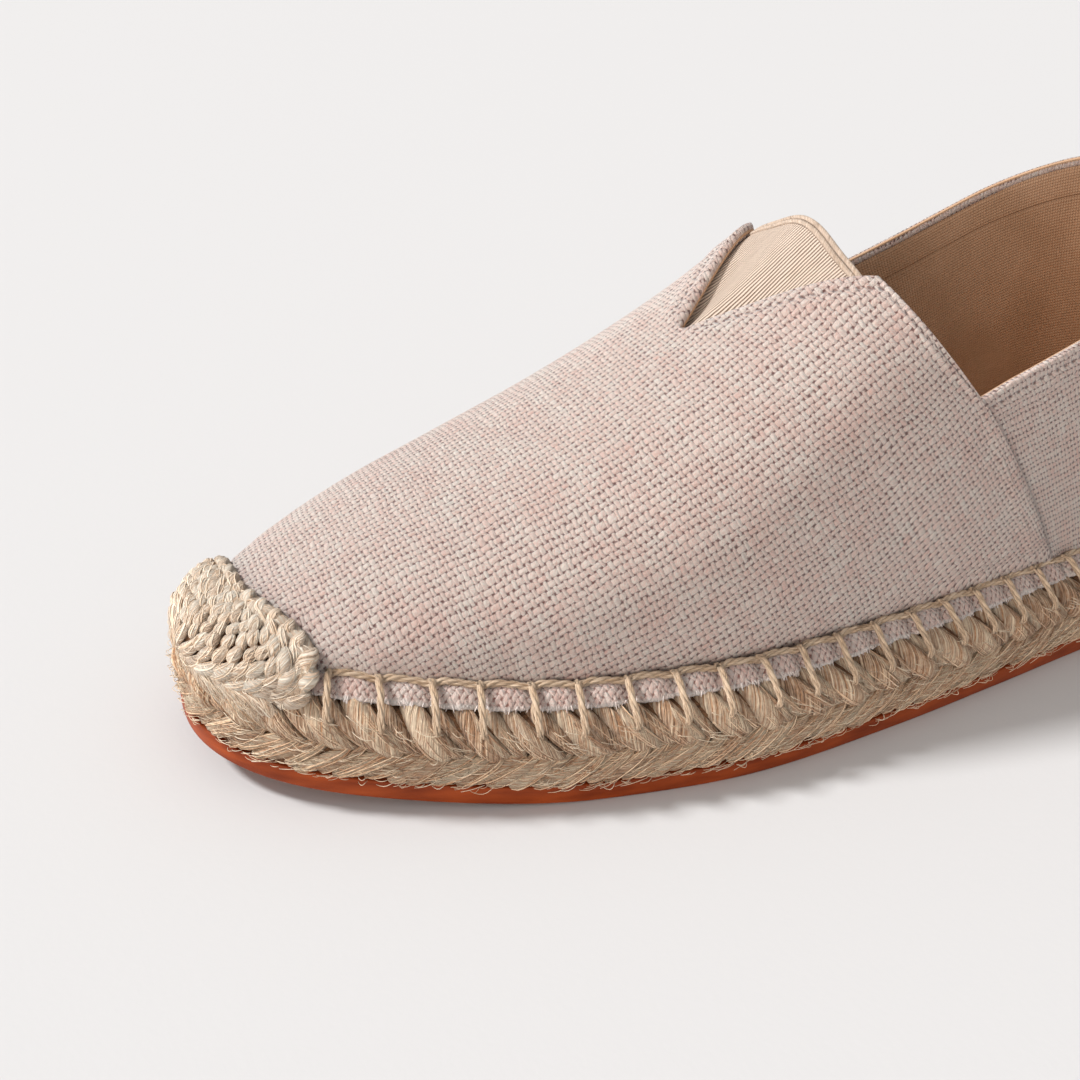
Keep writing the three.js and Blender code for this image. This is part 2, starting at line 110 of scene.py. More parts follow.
def round_off(distance: Array, span: float, power: float) -> Array:
    """Squared-off quarter circle: (1 - (1 - d/span)^p)^(1/p), which rises from 0 to 1 over the span."""
    rest = 1 - np.clip(distance / span, 0, 1)
    return (1 - rest**power) ** (1 / power)


def unit(vectors: Array) -> Array:
    """Vectors scaled to length one along the last axis."""
    return vectors / np.maximum(np.linalg.norm(vectors, axis=-1, keepdims=True), 1e-9)


def linear(red: int, green: int, blue: int) -> tuple[float, float, float, float]:
    """Linear colour of an sRGB colour.

    Args:
        red: Red from 0 to 255.
        green: Green from 0 to 255.
        blue: Blue from 0 to 255.

    Returns:
        Linear colour with alpha 1.
    """
    parts = [v / 255 for v in (red, green, blue)]
    made = [v / 12.92 if v <= 0.04045 else ((v + 0.055) / 1.055) ** 2.4 for v in parts]
    return (made[0], made[1], made[2], 1.0)


def randoms(count: int, key: int) -> Array:
    """Repeatable numbers between 0 and 1, a different list for each key."""
    return np.random.default_rng(SEED * 1000 + key).random(count)


def walked(points: Array, axis: int = 0) -> Array:
    """Distances walked from the first point.

    Args:
        points: Points with a last axis of two or three.
        axis: Axis along which they follow each other.

    Returns:
        Distances, without the last axis.
    """
    steps = np.linalg.norm(np.diff(points, axis=axis), axis=-1)
    return np.insert(np.cumsum(steps, axis), 0, 0.0, axis)


def crowded(count: int) -> Array:
    """Numbers from 0 to 1 that crowd at both ends: (1 - cos(pi t)) / 2."""
    return (1 - np.cos(np.linspace(0, np.pi, count))) / 2


def halves(turn: Array) -> tuple[Array, Array]:
    """Sign of the side and place on it, for places that go out on one side from 0 to 1 and back to 2."""
    return np.where(turn <= 1, 1.0, -1.0), np.where(turn <= 1, turn, 2 - turn)


def frame_of(paths: Array, normals: Array) -> tuple[Array, Array]:
    """Directions across and up from paths: tangent x normal, and that x tangent.

    Args:
        paths: Centre lines with axes (line, step, 3).
        normals: Outward directions, same axes.

    Returns:
        Unit vectors across and up.
    """
    tangent = unit(np.gradient(paths, axis=1))
    across = unit(np.cross(tangent, normals))
    return across, np.cross(across, tangent)


def jitter(rows: int, count: int, key: int) -> Array:
    """Repeatable numbers between -1 and 1 with axes (row, count, 1)."""
    return (randoms(rows * count, key).reshape(rows, count, 1) - 0.5) * 2


def taper(t: Array) -> Array:
    """Share of a stitch's thickness along it: the root of sin(pi t), held above 0.2."""
    return np.maximum(np.sin(np.pi * np.clip(t, 0.03, 0.97)) ** 0.5, 0.2)


@dataclass
class Last:
    """Shape of the last and the sole, as in the frame: outline, ridge heights and square sections."""

    sole_length: float = 250.0
    ball_width: float = 90.0
    toe_spring: float = 5.8
    toe_spring_share: float = 0.3
    heel_spring: float = 1.2
    heel_spring_share: float = 0.12
    rubber: float = 3.8
    braid_height: float = 12.4
    braid_shoulder: float = 2.2
    welt_setback: float = 7.5
    welt_height: float = 2.0
    instep_height: float = 67.0
    side_height: float = 42.2
    heel_height: float = 67.0
    heel_lean: float = 7.0
    clearance: float = 0.3
    near: float = 0.6
    spine_clear: float = 14.0
    toe_round: tuple[float, float] = (0.277, 2.24)
    heel_round: tuple[float, float] = (0.16, 2.3)
    ridge_round: tuple[float, float] = (0.16, 2.0)
    v_apex_at: float = 95.0
    v_tip_at: float = 121.5
    v_half_width: float = 20.0
    corner_at: float = 138.0
    seam_foot_at: float = 170.0
    marks: tuple[float, ...] = (0.0, 0.12, 0.25, 0.37, 0.5, 0.62, 0.75, 0.88, 1.0)
    lateral: tuple[float, ...] = (0.408, 0.415, 0.473, 0.512, 0.486, 0.441, 0.39, 0.375, 0.362)
    medial: tuple[float, ...] = (0.4, 0.44, 0.484, 0.475, 0.42, 0.382, 0.368, 0.366, 0.36)
    ridge_marks: tuple[float, ...] = (0.0, 0.1, 0.2, 0.3, 0.4, 0.48, 0.6, 0.75, 1.0)
    ridge: tuple[float, ...] = (0.12, 0.25, 0.392, 0.562, 0.778, 1.0, 1.32, 1.56, 1.64)
    fullness: tuple[float, ...] = (2.38, 2.4, 2.42, 2.46, 2.5, 2.55, 2.9, 3.3, 3.4)
    rise_marks: tuple[float, ...] = (0.0, 0.25, 0.5, 0.75, 1.0)
    rise_lateral: tuple[float, ...] = (0.0, 0.3, 0.58, 0.85, 1.0)
    rise_medial: tuple[float, ...] = (0.0, 0.42, 0.8, 0.97, 1.0)

    def __post_init__(self) -> None:
        """Works out the heights, the axis and the walk round the outline."""
        self.braid_foot_z = self.rubber + self.clearance
        self.shoulder_z = self.braid_foot_z + self.braid_height
        self.braid_top_z = self.shoulder_z + self.braid_shoulder
        self.welt_z = self.braid_top_z + self.welt_height
        self.upper_length = self.sole_length - 2 * self.welt_setback
        self.axis_x = 0.0
        share = np.linspace(0, 1, 2001)
        widest = [float(np.max(self.half(np.full(2001, s.value), share))) for s in (Side.MEDIAL, Side.LATERAL)]
        self.axis_x = (widest[0] - widest[1]) * self.ball_width / 2
        along = crowded(2401)
        self.walk_turn = np.concatenate([along, 2 - along[::-1][1:]])
        self.walk_run = walked(self.outline(*halves(self.walk_turn), 0.0, 0.0)[:, :2])
        self.perimeter = float(self.walk_run[-1])
        self.stitch_from = self.run_at(Side.LATERAL, STITCH_START)
        self.stitch_to = self.run_at(Side.MEDIAL, STITCH_START)
        self.stitches = round((self.stitch_to - self.stitch_from) / STITCH_PITCH)
        self.stitch_pitch = (self.stitch_to - self.stitch_from) / self.stitches
        self.lobes = round(self.perimeter / STITCH_PITCH)
        self.lobe_pitch = self.perimeter / self.lobes

    def half(self, side: Array, along: Array) -> Array:
        """Half-width as a share of the ball width: the table's curve times both end roundings."""
        wide = np.where(side > 0, Curve(self.marks, self.lateral)(along), Curve(self.marks, self.medial)(along))
        return wide * round_off(along, *self.toe_round) * round_off(1 - along, *self.heel_round)

    def lift(self, y: Array) -> Array:
        """Height of the sole off the ground: a parabola at the toe and one at the heel.

        Args:
            y: Place along the shoe.

        Returns:
            Heights.
        """
        half = self.sole_length / 2
        toe = np.maximum(0, 1 - (y + half) / (self.toe_spring_share * self.sole_length))
        heel = np.maximum(0, 1 - (half - y) / (self.heel_spring_share * self.sole_length))
        return self.toe_spring * toe**2 + self.heel_spring * heel**2

    def outline(self, side: Array, along: Array, inset: Array, z: Array) -> Array:
        """Point of the outline moved inwards, at height z over the sole's underside.

        Args:
            side: Sign of the side.
            along: Share of the length from the toe.
            inset: Distance in from the braid's edge.
            z: Height above the sole's underside.

        Returns:
            Points with a last axis of three.
        """
        side, along, inset, z = np.broadcast_arrays(side, along, inset, z)
        y = inset + along * (self.sole_length - 2 * inset) - self.sole_length / 2
        x = side * (self.ball_width - 2 * inset) * self.half(side, along)
        return np.stack([self.axis_x + x, y, z + self.lift(y)], -1)

    def edge(self, run: Array, inset: Array, z: Array) -> Array:
        """Point at a distance walked round the braid's edge from the toe, outer side first.

        Args:
            run: Distance walked, in any number of laps.
            inset: Distance in from the edge.
            z: Height above the sole's underside.

        Returns:
            Points with a last axis of three.
        """
        run, inset, z = np.broadcast_arrays(run, inset, z)
        tangent = unit(self._ground(run + self.near) - self._ground(run - self.near))
        inward = np.stack([-tangent[..., 1], tangent[..., 0]], -1)
        plan = self._ground(run) + inward * inset[..., None]
        return np.stack([plan[..., 0], plan[..., 1], z + self.lift(plan[..., 1])], -1)

    def lap(self, count: int) -> tuple[Array, Array]:
        """Places round the edge that lie level with each other on both sides, and the spine between them.

        Args:
            count: Places on one side.

        Returns:
            Walked distances from toe to toe, and the plan position of the spine at each.
        """
        along = crowded(count)
        turn = np.concatenate([along, 2 - along[::-1][1:]])
        run = np.interp(turn, self.walk_turn, self.walk_run)
        half = self.sole_length / 2
        reach = half - self.spine_clear
        y = np.clip(halves(turn)[1] * self.sole_length - half, -reach, reach)
        return run, np.stack([np.full_like(y, self.axis_x), y], -1)

    def band(self, rows: list[tuple[float, float]], count: int) -> "Patch":
        """Closed band round the edge whose first and last rows meet on the spine.

        Args:
            rows: Inset and height of each row, from below up.
            count: Places on one side.

        Returns:
            Patch that faces outwards.
        """
        run, spine = self.lap(count)
        grid = [self.edge(run, inset, z) for inset, z in rows]
        ends = [np.concatenate([spine, z + self.lift(spine[:, 1:])], 1) for z in (rows[0][1], rows[-1][1])]
        return Patch.grid(np.stack([ends[0], *grid, ends[1]], 1), {})

    def _ground(self, run: Array) -> Array:
        """Plan position of the braid's edge at a walked distance."""
        turn = np.interp(np.mod(run, self.perimeter), self.walk_run, self.walk_turn)
        return self.outline(*halves(turn), 0.0, 0.0)[..., :2]

    def run_at(self, side: Side, from_toe: float) -> float:
        """Walked distance to the place at a distance back from the toe."""
        along = from_toe / self.sole_length
        return float(np.interp(along if side is Side.LATERAL else 2 - along, self.walk_turn, self.walk_run))

    def share(self, from_toe: Array) -> Array:
        """Share of the upper's own length at a distance from the toe of the sole."""
        return (from_toe - self.welt_setback) / self.upper_length

    def full(self, along: Array) -> Array:
        """Power of the superellipse section."""
        return Curve(self.ridge_marks, self.fullness)(along)

    def ridge_height(self, along: Array, inset: Array) -> Array:
        """Height of the ridge above the upper's foot."""
        tall = Curve(self.ridge_marks, self.ridge)(along) * self.instep_height - inset
        return tall * round_off(along, *self.ridge_round)

    def point(self, side: Array, along: Array, climb: Array, inset: Array) -> Array:
        """Point of the last: half a superellipse whose foot is the outline and whose top is the ridge.

        Args:
            side: Sign of the side.
            along: Share of the upper's length.
            climb: 0 at the sole, 1 at the ridge.
            inset: Distance inside the upper's surface, negative outside it.

        Returns:
            Points with a last axis of three.
        """
        side, along, climb, inset = np.broadcast_arrays(side, along, climb, inset)
        foot = self.outline(side, along, self.welt_setback + inset, self.welt_z)
        angle = climb * np.pi / 2
        power = 2 / self.full(along)
        rise = self.ridge_height(along, inset) * np.sin(angle) ** power
        across = np.maximum(np.cos(angle), 0) ** power
        lean = self.heel_lean * ease((along - 0.7) / 0.3) * (rise / self.heel_height) ** 2
        x = self.axis_x + (foot[..., 0] - self.axis_x) * across
        return np.stack([x, foot[..., 1] - lean, foot[..., 2] + rise], -1)

    def climb_at_height(self, along: Array, height: Array) -> Array:
        """Climb at which the last reaches a height above the upper's foot."""
        share = np.minimum(height / self.ridge_height(along, 0.0), 1)
        return np.arcsin(share ** (self.full(along) / 2)) * 2 / np.pi

    def climb_at_width(self, side: Array, along: Array, half_width: Array) -> Array:
        """Climb at which the last is a given distance from its middle.

        Args:
            side: Sign of the side.
            along: Share of the upper's length.
            half_width: The distance.

        Returns:
            Climbs from 0 to 1.
        """
        half = np.abs(self.outline(side, along, self.welt_setback, 0.0)[..., 0] - self.axis_x)
        share = np.minimum(half_width / np.maximum(half, 1e-6), 1)
        return np.arccos(share ** (self.full(along) / 2)) * 2 / np.pi

    def topline(self, side: Side, share: Array) -> Array:
        """Height of the collar above the upper's foot, from the side corner to the heel."""
        values = self.rise_lateral if side is Side.LATERAL else self.rise_medial
        return mix(self.side_height, self.heel_height, Curve(self.rise_marks, values)(share))


@dataclass
class Patch:
    """A mesh in the making: points, faces, and named attributes of one vector a point."""

    points: Array
    faces: list[Array]
    attributes: dict[str, Array] = field(default_factory=dict)

    @staticmethod
    def grid(points: Array, attributes: dict[str, Array], closed: bool = False) -> "Patch":
        """Surface over a grid of points.

        Args:
            points: Grid with axes (column, row, 3).
            attributes: Grids of vectors named for the mesh.
            closed: Whether the last row joins the first.

        Returns:
            Patch of quads, facing along d(column) x d(row).
        """
        columns, rows = points.shape[:2]
        index = np.arange(columns * rows).reshape(columns, rows)
        if closed:
            index = np.concatenate([index, index[:, :1]], 1)
        flat = {name: values.reshape(-1, 3) for name, values in attributes.items()}
        return Patch(points.reshape(-1, 3), [Patch.quads(index)], flat)

    @staticmethod
    def quads(index: Array) -> Array:
        """Quads between the neighbours of a grid of point numbers; earlier axes hold more grids."""
        corners = (index[..., :-1, :-1], index[..., 1:, :-1], index[..., 1:, 1:], index[..., :-1, 1:])
        return np.stack(corners, -1).reshape(-1, 4)

    @staticmethod
    def slab(outside: Array, inside: Array, attributes: dict[str, Array]) -> "Patch":
        """Closed sheet between two grids of the same shape, with its four edges walled.

        Args:
            outside: Grid of its outer face.
            inside: Grid of its inner face.
            attributes: Grids of vectors, the same for both faces.

        Returns:
            The sheet.
        """
        columns, rows = outside.shape[:2]
        index = np.arange(columns * rows).reshape(columns, rows)
        under = index + columns * rows
        quads = [
            Patch.quads(index),
            Patch.quads(under)[:, [0, 3, 2, 1]],
            np.stack([index[:-1, -1], index[1:, -1], under[1:, -1], under[:-1, -1]], -1),
            np.stack([index[1:, 0], index[:-1, 0], under[:-1, 0], under[1:, 0]], -1),
            np.stack([index[-1, :-1], under[-1, :-1], under[-1, 1:], index[-1, 1:]], -1),
            np.stack([index[0, 1:], under[0, 1:], under[0, :-1], index[0, :-1]], -1),
        ]
        points = np.concatenate([outside.reshape(-1, 3), inside.reshape(-1, 3)])
        flat = {name: np.tile(values.reshape(-1, 3), (2, 1)) for name, values in attributes.items()}
        return Patch(points, quads, flat)

    @staticmethod
    def join(patches: list["Patch"]) -> "Patch":
        """One patch out of several.

        Args:
            patches: Patches with the same attributes.

        Returns:
            The patch.
        """
        offset = 0
        faces = []
        for patch in patches:
            faces += [block + offset for block in patch.faces]
            offset += len(patch.points)
        names = patches[0].attributes
        joined = {name: np.concatenate([p.attributes[name] for p in patches]) for name in names}
        return Patch(np.concatenate([p.points for p in patches]), faces, joined)

    def flipped(self) -> "Patch":
        """The same patch facing the other way."""
        return Patch(self.points, [block[:, ::-1] for block in self.faces], self.attributes)

    def merged(self) -> "Patch":
        """The same patch with its quads in one block."""
        quads = np.concatenate([block for block in self.faces if block.shape[1] == 4])
        return Patch(self.points, [quads, *[b for b in self.faces if b.shape[1] != 4]], self.attributes)

    def object(self, name: str, material: bpy.types.Material, weld: float = 0.002) -> bpy.types.Object:
        """Blender object of the patch. Walls that two welded sheets share are left out.

        Args:
            name: Name of the object.
            material: Its material.
            weld: Points nearer than this in millimetres become one.

        Returns:
            The linked object, in metres, smooth shaded.
        """
        places = np.round(self.points / weld).astype(np.int64)
        _, first, inverse = np.unique(places, axis=0, return_index=True, return_inverse=True)
        inverse = inverse.reshape(-1)
        faces: list[list[int]] = []
        for block in self.merged().faces:
            welded = inverse[block]
            distinct = np.sort(welded, 1)
            repeats = (distinct[:, 1:] == distinct[:, :-1]).sum(1)
            whole = repeats == 0
            _, back, copies = np.unique(distinct[whole], axis=0, return_inverse=True, return_counts=True)
            faces += welded[whole][copies[back.reshape(-1)] == 1].tolist()
            thin = [list(dict.fromkeys(face)) for face in welded[repeats == 1].tolist()]
            twice = Counter(frozenset(face) for face in thin)
            faces += [face for face in thin if twice[frozenset(face)] == 1]
        mesh = bpy.data.meshes.new(name)
        mesh.from_pydata((self.points[first] * MM).tolist(), [], faces)
        for key, values in self.attributes.items():
            layer = mesh.attributes.new(key, "FLOAT_VECTOR", "POINT")
            layer.data.foreach_set("vector", values[first].astype(np.float32).ravel())
        mesh.polygons.foreach_set("use_smooth", np.ones(len(mesh.polygons), bool))
        mesh.materials.append(material)
        mesh.update()
        made = bpy.data.objects.new(name, mesh)
        bpy.context.collection.objects.link(made)
        return made


def tubes(paths: Array, normals: Array, wide: Array, deep: Array, sides: int, tone: Array) -> Patch:
    """Many closed tubes of elliptical section carried along paths.

    Each ring is centre + wide cos(a) (tangent x normal) + deep sin(a) normal. The end rings shrink to a point.

    Args:
        paths: Centres with axes (tube, step, 3).
        normals: Direction of the depth, same axes.
        wide: Half-width with axes (tube, step).
        deep: Half-depth with axes (tube, step).
        sides: Points round a ring.
        tone: One number a tube, for its colour.

    Returns:
        Patch with the attribute strand: (angle, distance along, tone).
    """
    count, steps = paths.shape[:2]
    across, up = frame_of(paths, normals)
    angle = np.arange(sides) * 2 * np.pi / sides
    ring = (
        paths[:, :, None]
        + across[:, :, None] * (wide[:, :, None] * np.cos(angle))[..., None]
        + up[:, :, None] * (deep[:, :, None] * np.sin(angle))[..., None]
    )
    length = walked(paths, 1)
    index = np.arange(count * steps * sides).reshape(count, steps, sides)
    index = np.concatenate([index, index[:, :, :1]], 2)
    faces = [Patch.quads(index), index[:, 0, :-1], index[:, -1, :-1][:, ::-1]]
    strand = np.stack(np.broadcast_arrays(angle[None, None], length[:, :, None], tone[:, None, None]), -1)
    return Patch(ring.reshape(-1, 3), faces, {"strand": strand.reshape(-1, 3)})


@dataclass(frozen=True)
class Value:
    """Number in a material. A sign between two of them makes one Math node."""

    graph: "Graph"
    socket: bpy.types.NodeSocket

    def __add__(self, other: object) -> "Value":
        """Sum."""
        return self.graph.math("ADD", self, other)

    def __sub__(self, other: object) -> "Value":
        """Difference."""
        return self.graph.math("SUBTRACT", self, other)

    def __rsub__(self, other: float) -> "Value":
        """Difference from a plain number."""
        return self.graph.math("SUBTRACT", other, self)

    def __mul__(self, other: object) -> "Value":
        """Product."""
        return self.graph.math("MULTIPLY", self, other)

    def __truediv__(self, other: object) -> "Value":
        """Quotient."""
        return self.graph.math("DIVIDE", self, other)

    def __abs__(self) -> "Value":
        """Size without the sign."""
        return self.graph.math("ABSOLUTE", self)

    def humps(self, width: float) -> "Value":
        """Row of round humps of a width: |sin(pi value / width)|."""
        return abs(self.graph.math("SINE", self * (math.pi / width)))

    def picked(self, over: "Value", other: "Value") -> "Value":
        """The other number where over is 1, and this one where it is 0."""
        return other * over + self * (1.0 - over)


class Graph:
    """Short way to write a material's nodes."""

    def __init__(self, name: str) -> None:
        """Starts a material with its surface shader.

        Args:
            name: Name of the material.
        """
        self.material = bpy.data.materials.new(name)
        self.material.use_nodes = True
        self.tree = self.material.node_tree
        self.tree.nodes.clear()
        self.shader = self._node("BsdfPrincipled", {})
        self.tree.links.new(self.shader.outputs[0], self._node("OutputMaterial", {}).inputs[0])

    def _node(self, kind: str, inputs: dict[str | int, object], **settings: object) -> bpy.types.Node:
        """New node.

        Args:
            kind: Its type, without the first words.
            inputs: What its inputs are linked to or set to.
            settings: Its own settings.

        Returns:
            The node.
        """
        node = self.tree.nodes.new("ShaderNode" + kind)
        for key, value in settings.items():
            setattr(node, key, value)
        self._fill(node, inputs)
        return node

    def _fill(self, node: bpy.types.Node, inputs: dict[str | int, object]) -> None:
        """Links inputs of a node to sockets, or sets their own values.

        Args:
            node: The node.
            inputs: Socket, number or colour for each input.
        """
        for key, value in inputs.items():
            source = value.socket if isinstance(value, Value) else value
            if isinstance(source, bpy.types.NodeSocket):
                self.tree.links.new(source, node.inputs[key])
            else:
                node.inputs[key].default_value = linear(*source) if isinstance(source, tuple) else source

    def _split(self, vector: bpy.types.NodeSocket) -> list[Value]:
        """The three numbers of a vector."""
        return [Value(self, socket) for socket in self._node("SeparateXYZ", {0: vector}).outputs]

    def math(self, operation: str, *values: object) -> Value:
        """One Math node."""
        return Value(self, self._node("Math", dict(enumerate(values)), operation=operation).outputs[0])

    def attribute(self, name: str) -> list[Value]:
        """The three numbers of a point attribute."""
        return self._split(self._node("Attribute", {}, attribute_name=name).outputs["Vector"])

    def place(self) -> list[Value]:
        """Object coordinates in millimetres."""
        inputs = {0: self._node("TexCoord", {}).outputs["Object"], "Scale": 1 / MM}
        return self._split(self._node("VectorMath", inputs, operation="SCALE").outputs[0])

    def noise(self, point: list[object], detail: float = 2.0, rough: float = 0.5) -> Value:
        """Noise of a point, about 0.2 to 0.8.

        Args:
            point: Three numbers.
            detail: Octaves.
            rough: Weight of each octave against the one before.

        Returns:
            The noise.
        """
        vector = self._node("CombineXYZ", dict(enumerate(point))).outputs[0]
        inputs = {"Scale": 1.0, "Detail": detail, "Roughness": rough, "Vector": vector}
        return Value(self, self._node("TexNoise", inputs).outputs[0])

    def ramp(self, value: Value, stops: dict[float, Colour]) -> bpy.types.NodeSocket:
        """Colour ramp.

        Args:
            value: Where to read it.
            stops: Colour at each place, at least two.

        Returns:
            Colour socket.
        """
        node = self._node("ValToRGB", {0: value})
        elements = node.color_ramp.elements
        places = sorted(stops)
        for element, at in zip(list(elements), (places[0], places[-1])):
            element.position = at
            element.color = linear(*stops[at])
        for at in places[1:-1]:
            elements.new(at).color = linear(*stops[at])
        return node.outputs[0]

    def blend(self, share: Value, a: object, b: object) -> bpy.types.NodeSocket:
        """Mix of two colours, each a socket or a plain colour."""
        return self._node("Mix", {"Factor": share, 6: a, 7: b}, data_type="RGBA").outputs[2]

    def between(self, value: Value, low: float, high: float) -> Value:
        """Smooth step from 0 at low to 1 at high."""
        inputs = {"Value": value, "From Min": low, "From Max": high}
        return Value(self, self._node("MapRange", inputs, interpolation_type="SMOOTHSTEP").outputs[0])

    def line(self, value: Value, at: float, inner: float, outer: float) -> Value:
        """Soft line: 1 within inner of a place, 0 beyond outer."""
        return 1.0 - self.between(abs(value - at), inner, outer)

    def finish(self, colour: object, height: Value, depth_mm: float, **own: float) -> bpy.types.Material:
        """Sets colour, bump and the shader's own numbers.

        Args:
            colour: Colour socket or plain colour.
            height: Height, 0 to 1.
            depth_mm: What a height of 1 stands for.
            own: roughness, specular, sheen or sheen_roughness.

        Returns:
            The finished material.
        """
        names = {
            "roughness": "Roughness", "specular": "Specular IOR Level",
            "sheen": "Sheen Weight", "sheen_roughness": "Sheen Roughness",
        }
        bump = self._node("Bump", {"Distance": depth_mm * MM, "Height": height})
        self._fill(self.shader, {"Base Color": colour, "Normal": bump.outputs[0]})
        self._fill(self.shader, {names[key]: value for key, value in own.items()})
        return self.material


@dataclass(frozen=True)
class CanvasFinish:
    """Coarse plain weave of heathered cream and dusty pink yarns, read from the attribute weave."""

    warp_pitch: float = 1.4
    weft_pitch: float = 1.06
    cream: Colour = (255, 244, 233)
    pink: Colour = (246, 205, 191)
    # Painted shade: dark colour of the pinholes between the yarns and of the stitch holes.
    hole_shade: Colour = (112, 54, 40)
    raw: Colour = (250, 240, 234)
    depth: float = 0.85
    hem_stitch: float = 3.2
    seam_stitches: tuple[float, float] = (1.5, 4.3)

    def make(self, name: str = "canvas") -> bpy.types.Material:
        """Material: two crossing sets of round yarns that dip under each other, with pinholes at the corners in
        painted shade.

        Height of a yarn = |sin|^0.75 across it times (1 +- sin(pi a) sin(pi b)) / 2, with the warp, which runs along
        the shoe, a little higher; the higher one shows.

        Args:
            name: Name of the material.

        Returns:
            The material.
        """
        g = Graph(name)
        u, v, rawness = g.attribute("weave")
        edge, edge_run, seam = g.attribute("trim")
        a, b = self._threads(g, u, v)
        sine_a, sine_b = (g.math("SINE", thread * math.pi) for thread in (a, b))
        round_a, round_b = (g.math("POWER", abs(sine), 0.75) for sine in (sine_a, sine_b))
        wave = sine_a * sine_b
        warp = round_a * (wave * 0.5 + 0.56)
        weft = round_b * (wave * -0.5 + 0.46)
        yarn = g.math("MAXIMUM", warp, weft)
        over = g.math("GREATER_THAN", weft, warp)
        patch = g.noise([u * 0.09, v * 0.14, 0.0], 4.0)
        fibre = self._fibre(g, u, v, over)
        heather = fibre + (self._tone(g, a, b, over) * 0.55 + patch * 0.35 - 0.45)
        colour = g.ramp(heather, {0.32: self.pink, 0.66: self.cream})
        # Painted shade: where the yarns sink between each other, the colour turns to the dark hole shade.
        pinhole_shade_mask = fibre * 0.5 + (yarn - 0.25)
        colour = g.blend(g.between(pinhole_shade_mask, 0.16, 0.47), self.hole_shade, colour)
        twin = g.math("MAXIMUM", *(self._stitches(g, seam, v, at) for at in self.seam_stitches))
        sewn = g.math("MAXIMUM", self._stitches(g, edge, edge_run, self.hem_stitch), twin * 0.3)
        # Painted shade in the stitch holes.
        colour = g.blend(sewn * 0.75, colour, self.hole_shade)
        torn = patch * 0.3 + (rawness - 0.15)
        colour = g.blend(g.between(torn, 0.9, 1.0), colour, self.raw)
        height = sewn * -1.1 + (fibre * 1.3 + yarn)
        return g.finish(colour, height, self.depth, roughness=0.92, specular=0.2, sheen=0.5, sheen_roughness=0.5)

    def _threads(self, g: Graph, u: Value, v: Value) -> tuple[Value, Value]:
        """Thread counts across both directions, with drift over the cloth and uneven yarns.

        Args:
            g: The material.
            u: Distance across the warp.
            v: Distance across the weft.

        Returns:
            Count of warps and count of wefts.
        """
        drift = g.noise([u * 0.09, v * 0.09, 3.0])
        uneven_a = g.noise([u * 0.8, v * 0.13, 9.0], 1.0)
        uneven_b = g.noise([u * 0.13, v * 0.8, 15.0], 1.0)
        a = (u + (uneven_a * 0.9 + drift * 1.6)) / self.warp_pitch
        b = (v + (uneven_b * 0.9 + drift * -1.6)) / self.weft_pitch
        return a, b

    @staticmethod
    def _fibre(g: Graph, u: Value, v: Value, over: Value) -> Value:
        """Fibres that wind round each yarn: streaks at 45 degrees, one way on the warp and the other on the weft.

        Args:
            g: The material.
            u: Distance across the warp.
            v: Distance across the weft.
            over: 1 where the weft is on top.

        Returns:
            Noise of the fibres.
        """
        total, rest = u + v, u - v
        one = g.noise([total * 3.4, rest * 1.1, 2.0], 3.0, 0.75)
        other = g.noise([total * 1.1, rest * 3.4, 4.0], 3.0, 0.75)
        return one.picked(over, other)

    @staticmethod
    def _tone(g: Graph, a: Value, b: Value, over: Value) -> Value:
        """Colour noise of the yarn on top: it changes from yarn to yarn and slowly along each.

        Args:
            g: The material.
            a: Count of warps.
            b: Count of wefts.
            over: 1 where the weft is on top.

        Returns:
            Noise of the yarn.
        """
        tone_a = g.noise([g.math("FLOOR", a) * 3.1, b * 0.35, 1.0], 3.0)
        tone_b = g.noise([a * 0.35, g.math("FLOOR", b) * 3.1, 5.0], 3.0)
        return tone_a.picked(over, tone_b)

    @staticmethod
    def _stitches(g: Graph, away: Value, run: Value, at: float) -> Value:
        """Row of small stitch holes at a distance from an edge, 2 mm from one to the next."""
        return g.line(away, at, 0.1, 0.5) * (1.0 - g.between(run.humps(2.0), 0.25, 0.85))


@dataclass(frozen=True)
class StrandFinish:
    """Plant fibre in strands, read from the attribute strand: streaks run along each strand."""

    light: Colour = (255, 231, 199)
    dark: Colour = (202, 149, 107)
    twist: float = 0.5
    streaks: float = 5.0
    depth: float = 0.9

    def make(self, name: str) -> bpy.types.Material:
        """Material with streaks along the strand, its own tone, painted shade in the clefts and a fine rough surface.

        Args:
            name: Name of the material.

        Returns:
            The material.
        """
        g = Graph(name)
        angle, length, tone = g.attribute("strand")
        turn = length * self.twist + angle
        ring = [g.math(way, turn) * self.streaks for way in ("COSINE", "SINE")]
        streak = g.between(g.noise([*ring, tone * 37.0 + length * 0.14], 3.0, 0.65), 0.3, 0.68)
        grain = g.noise([value * 1.3 for value in g.place()], 3.0)
        shade = grain * 0.4 + (streak * 0.55 + tone * 0.3 - 0.12)
        # Painted shade: the lowest stop of the ramp is a cleft colour for the shade between fibres.
        cleft_shade = tuple(round(0.55 * value) for value in self.dark)
        colour = g.ramp(shade, {0.15: cleft_shade, 0.33: self.dark, 0.72: self.light})
        return g.finish(colour, grain * 0.3 + streak, self.depth, roughness=0.8, specular=0.25, sheen=0.2)


@dataclass(frozen=True)
class JuteFillFinish:
    """Jute behind the strands and under the sole, in shadow and coloured dark as painted shade: short fibres by
    position.
    """

    light: Colour = (150, 108, 74)
    dark: Colour = (78, 50, 32)

    def make(self) -> bpy.types.Material:
        """Material of matted fibres by position, darkened as painted shade.

        Returns:
            The material.
        """
        g = Graph("jute fill")
        x, y, z = g.place()
        mat = g.noise([x * 1.6, y * 0.7, z * 2.4], 4.0, 0.65)
        return g.finish(g.ramp(mat, {0.3: self.dark, 0.7: self.light}), mat, 0.8, roughness=0.95)


